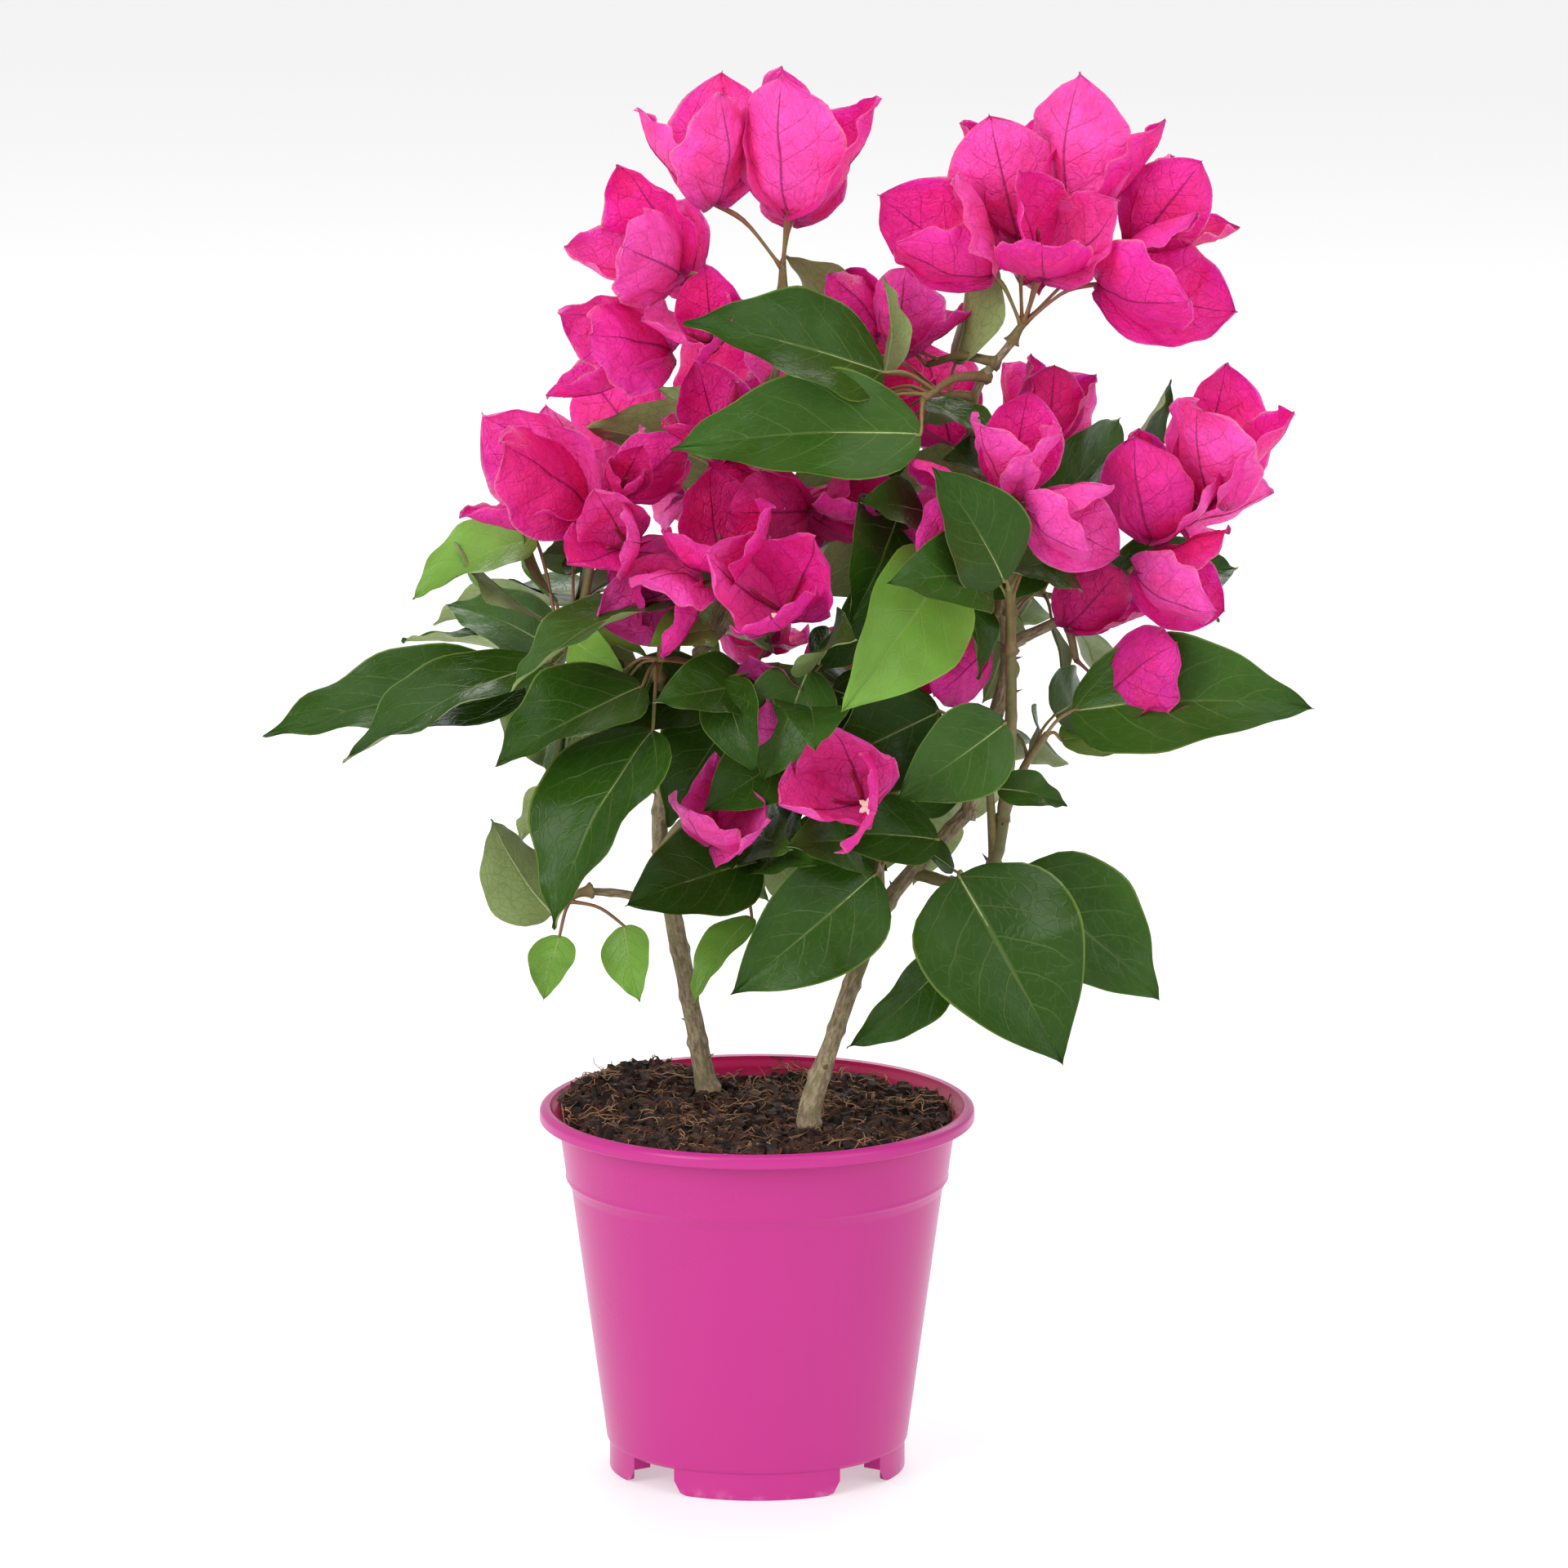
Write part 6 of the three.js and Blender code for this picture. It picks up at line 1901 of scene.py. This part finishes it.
def stalk_material():
    return plain_variant("mat_stalk", "#7c7a3c", "#8a5b45", 30.0, 0.5, 0.00012)


def shoot_material():
    return plain_variant("mat_green_shoot", "#68633a", "#7f7247", 45.0, 0.55, 0.0003)


def floret_material():
    return plain_variant("mat_floret", "#a3305c", "#7d3a3a", 80.0, 0.5, 0.0001)


def star_material():
    return plain_variant("mat_floret_star", "#f2e9c9", "#fbf6e6", 80.0, 0.5, 0.0001)


def bark_material():
    """Grey-tan bark with pale fissures that run along the stem, and olive patches here and there."""

    def build(name):
        material, tree, shader = new_material(name)
        uv = add_node(tree, "ShaderNodeUVMap", uv_map="UVMap").outputs["UV"]
        drawn = add_node(tree, "ShaderNodeMapping", {"Vector": uv, "Scale": (7.0, 90.0, 1.0)}).outputs[0]
        streak = add_node(tree, "ShaderNodeTexNoise", {
            "Vector": drawn, "Scale": 2.2, "Detail": 6.0, "Roughness": 0.65,
        })
        patches = placed_group(tree, "Mottle", build_mottle, {"Broad scale": 70.0, "Fine scale": 900.0})
        streaks = ramp(tree, streak.outputs["Fac"], 0.38, 0.62)
        face = mixed(tree, streaks, srgb("#76654c"), srgb("#a8987a"))
        face = mixed(tree, ramp(tree, patches["Broad"], 0.5, 0.7), face, srgb("#7d7652"))
        face = varied(tree, face, patches["Fine"], 0.35)
        tree.links.new(face, shader.inputs["Base Color"])
        tree.links.new(maths(tree, "MULTIPLY_ADD", streaks, 0.15, 0.7), shader.inputs["Roughness"])
        relief = maths(tree, "MULTIPLY_ADD", patches["Fine"], 0.3, streak.outputs["Fac"])
        set_bump(tree, shader, relief, 0.0005)
        return material

    return once("mat_bark", build)


def pot_material():
    """Satin moulded plastic: slight mould flow, fine grain, scuffs below, painted shade that deepens the
    inner wall, and peat dust inside.
    """

    def build(name):
        colours = bpy.context.scene.plant_colours
        material, tree, shader = new_material(name, Specular_IOR_Level=0.32)
        spot = add_node(tree, "ShaderNodeTexCoord").outputs["Object"]
        height = add_node(tree, "ShaderNodeSeparateXYZ", {0: spot}).outputs[2]
        patches = placed_group(tree, "Mottle", build_mottle, {"Broad scale": 9.0, "Fine scale": 120.0})
        face = varied(tree, (*colours.pot, 1.0), patches["Broad"], 0.08)
        inside = add_node(tree, "ShaderNodeAttribute", attribute_name="under").outputs["Fac"]
        dust = times(tree, inside, ramp(tree, patches["Fine"], 0.56, 0.66))
        # painted shade: the inner wall is tinted a deeper red for the shade inside the pot
        face = mixed(tree, times(tree, inside, 0.75), face, srgb("#b8003c"))
        face = mixed(tree, times(tree, dust, 0.55), face, srgb("#3a2418"))
        scuff = times(tree, ramp(tree, height, 0.005, 0.0), ramp(tree, patches["Fine"], 0.5, 0.7))
        face = mixed(tree, times(tree, scuff, 0.2), face, srgb("#f2b6d6"))
        tree.links.new(face, shader.inputs["Base Color"])
        rough = maths(tree, "MULTIPLY_ADD", patches["Broad"], 0.1, 0.23)
        tree.links.new(maths(tree, "MULTIPLY_ADD", patches["Fine"], 0.015, rough), shader.inputs["Roughness"])
        set_bump(tree, shader, patches["Fine"], 0.0000015)
        return material

    return once("mat_pot_plastic", build)


def floor_material():
    return new_material(
        "mat_floor", Roughness=0.6, Base_Color=srgb("#c4c4c4"), Emission_Color=srgb("#ffffff"),
        Emission_Strength=0.46,
    )[0]


# ---------- Stage ----------

VIEW_DISTANCE = 6.0
VIEW_ELEVATION = 12.6 * DEG
VIEW_HEIGHT = 273 * MM
VIEW_SIDEWAYS = 10.5 * MM  # of the picture's middle from the pot's axis
FRAME_WIDTH = 610 * MM  # what the picture shows across, at the pot's axis
FLOOR_HALF = 40.0  # far past the camera on every side, so that no view is blocked


def soft_light(name, spot, aim, size, power):
    light = bpy.data.lights.new(name, "AREA")
    light.shape = "RECTANGLE"
    light.size, light.size_y = size
    light.energy = power
    lamp = scene_object(name, light)
    lamp.location = spot
    lamp.rotation_euler = (Vector(aim) - Vector(spot)).to_track_quat("-Z", "Y").to_euler()


class PLANT_OT_stage(bpy.types.Operator):
    """Set up the pale floor, the soft studio lights and the camera"""

    bl_idname = "plant.stage"
    bl_label = "Make stage"

    def execute(self, context):
        scene = context.scene
        corners = [(x * FLOOR_HALF, y * FLOOR_HALF, 0.0) for x, y in ((-1, -1), (1, -1), (1, 1), (-1, 1))]
        mesh = bpy.data.meshes.new("studio_floor")
        mesh.from_pydata(corners, [], [(0, 1, 2, 3)])
        floor = scene_object("studio_floor", mesh)
        floor.data.materials.append(floor_material())

        aim = Vector((AXIS_FOOT[0] + VIEW_SIDEWAYS, AXIS_FOOT[1], VIEW_HEIGHT))
        lights = scene.plant_lights
        soft_light("key_left", aim + Vector((-1.5, -1.6, 1.1)), aim, (1.2, 1.6), lights.key)
        soft_light("key_right", aim + Vector((1.6, -1.3, 0.9)), aim, (1.1, 1.6), lights.side)
        soft_light("overhead", aim + Vector((0.0, -0.3, 2.2)), aim, (2.2, 2.0), lights.overhead)
        soft_light("rim_back", aim + Vector((0.3, 1.8, 1.4)), aim, (2.0, 1.2), lights.back)

        world = bpy.data.worlds.new("studio_air")
        world.use_nodes = True
        sky = world.node_tree.nodes["Background"]
        sky.inputs["Color"].default_value = (1.0, 1.0, 1.0, 1.0)
        sky.inputs["Strength"].default_value = lights.air
        scene.world = world
        scene.view_settings.view_transform = "Standard"

        camera = bpy.data.cameras.new("camera")
        camera.sensor_width = 36.0
        camera.lens = camera.sensor_width * VIEW_DISTANCE / FRAME_WIDTH
        camera.clip_end = 100.0
        eye = scene_object("camera", camera)
        away = Vector((0, -math.cos(VIEW_ELEVATION), math.sin(VIEW_ELEVATION)))
        eye.location = aim + away * VIEW_DISTANCE
        eye.rotation_euler = (-away).to_track_quat("-Z", "Y").to_euler()
        scene.camera = eye
        return {"FINISHED"}


# ---------- Settings, panel and registering ----------


def colour_setting(label, code, description):
    return bpy.props.FloatVectorProperty(
        name=label, description=description, default=srgb(code)[:3], subtype="COLOR", min=0, max=1,
    )


class PlantSizes(bpy.types.PropertyGroup):
    seed: bpy.props.IntProperty(name="Seed", description="Seed of the details that fall at random", default=7)
    open_florets: bpy.props.FloatProperty(
        name="Open florets", description="Share of the heads with an open floret", default=0.24,
        subtype="FACTOR", min=0, max=1,
    )
    bark_relief: bpy.props.FloatProperty(
        name="Bark relief", description="Depth of the bark's fissures and lumps", default=1.0, min=0, max=3,
    )
    thorn_length: bpy.props.FloatProperty(
        name="Thorn length", description="Length of the longest thorns", default=0.0045, unit="LENGTH",
    )
    crumb_density: bpy.props.FloatProperty(
        name="Crumb density", description="Crumbs of peat on a square metre", default=100000.0, min=0,
    )
    crumb_size: bpy.props.FloatProperty(
        name="Crumb size", description="Length of the largest crumbs", default=0.007, unit="LENGTH",
    )
    fibre_density: bpy.props.FloatProperty(
        name="Fibre density", description="Root fibres on a square metre", default=36000.0, min=0,
    )
    fibre_length: bpy.props.FloatProperty(
        name="Fibre length", description="Length of an average fibre", default=0.022, unit="LENGTH",
    )


class PlantColours(bpy.types.PropertyGroup):
    pot: colour_setting("Pot", "#bb2c84", "Plastic of the pot")
    leaf_dark: colour_setting("Dark leaves", "#2a4a10", "Upper side of the old leaves")
    leaf_mid: colour_setting("Green leaves", "#34561a", "Upper side of most leaves")
    leaf_light: colour_setting("Pale leaves", "#6f9a3c", "Upper side of the young leaves")
    leaf_under: colour_setting("Leaf undersides", "#8a9c62", "Lower side of the leaves")
    # Pink bracts are partly painted light, for heads in full light, and deep bracts are partly painted shade,
    # for heads in the shade of others; both are also dealt at random.
    bract_rose: colour_setting("Rose bracts", "#f02b98", "Bracts of most heads")
    bract_pink: colour_setting("Pink bracts", "#fc4eae", "Bracts in full light")
    bract_deep: colour_setting("Deep bracts", "#d81c78", "Older and inner bracts")


def light_setting(label, watts, description):
    return bpy.props.FloatProperty(name=label, description=description, default=watts, unit="POWER")


class PlantLights(bpy.types.PropertyGroup):
    key: light_setting("Left light", 30.0, "Large soft light from the left")
    side: light_setting("Right light", 10.0, "Soft light from the right")
    overhead: light_setting("Top light", 18.0, "Soft light from above")
    back: light_setting("Back light", 22.0, "Soft light from behind")
    air: bpy.props.FloatProperty(name="Air", description="Even light from all round", default=0.68)


PIECES = ("stage", "pot", "peat", "stems", "twigs", "leaves", "bracts")
STEPS = tuple("plant." + piece for piece in PIECES)


class PLANT_PT_panel(bpy.types.Panel):
    """Lists the steps that dress the plant"""

    bl_label = "Bougainvillea"
    bl_idname = "PLANT_PT_panel"
    bl_space_type = "VIEW_3D"
    bl_region_type = "UI"
    bl_category = "Bougainvillea"

    def draw(self, context):
        for group in (context.scene.plant_sizes, context.scene.plant_colours, context.scene.plant_lights):
            box = self.layout.box()
            for name in group.bl_rna.properties.keys():
                if name not in ("rna_type", "name"):
                    box.prop(group, name)
        for step in STEPS:
            self.layout.operator(step)


CLASSES = (
    PlantSizes, PlantColours, PlantLights, PLANT_OT_stage, PLANT_OT_pot, PLANT_OT_peat, PLANT_OT_stems,
    PLANT_OT_twigs, PLANT_OT_leaves, PLANT_OT_bracts, PLANT_PT_panel,
)


def register():
    for cls in CLASSES:
        bpy.utils.register_class(cls)
    bpy.types.Scene.plant_sizes = bpy.props.PointerProperty(type=PlantSizes)
    bpy.types.Scene.plant_colours = bpy.props.PointerProperty(type=PlantColours)
    bpy.types.Scene.plant_lights = bpy.props.PointerProperty(type=PlantLights)


def unregister():
    del bpy.types.Scene.plant_sizes, bpy.types.Scene.plant_colours, bpy.types.Scene.plant_lights
    for cls in reversed(CLASSES):
        bpy.utils.unregister_class(cls)


def main():
    register()
    grow_shoots(grow_masses())
    for step in STEPS:
        group, name = step.split(".")
        getattr(getattr(bpy.ops, group), name)()


if __name__ == "__main__":
    main()
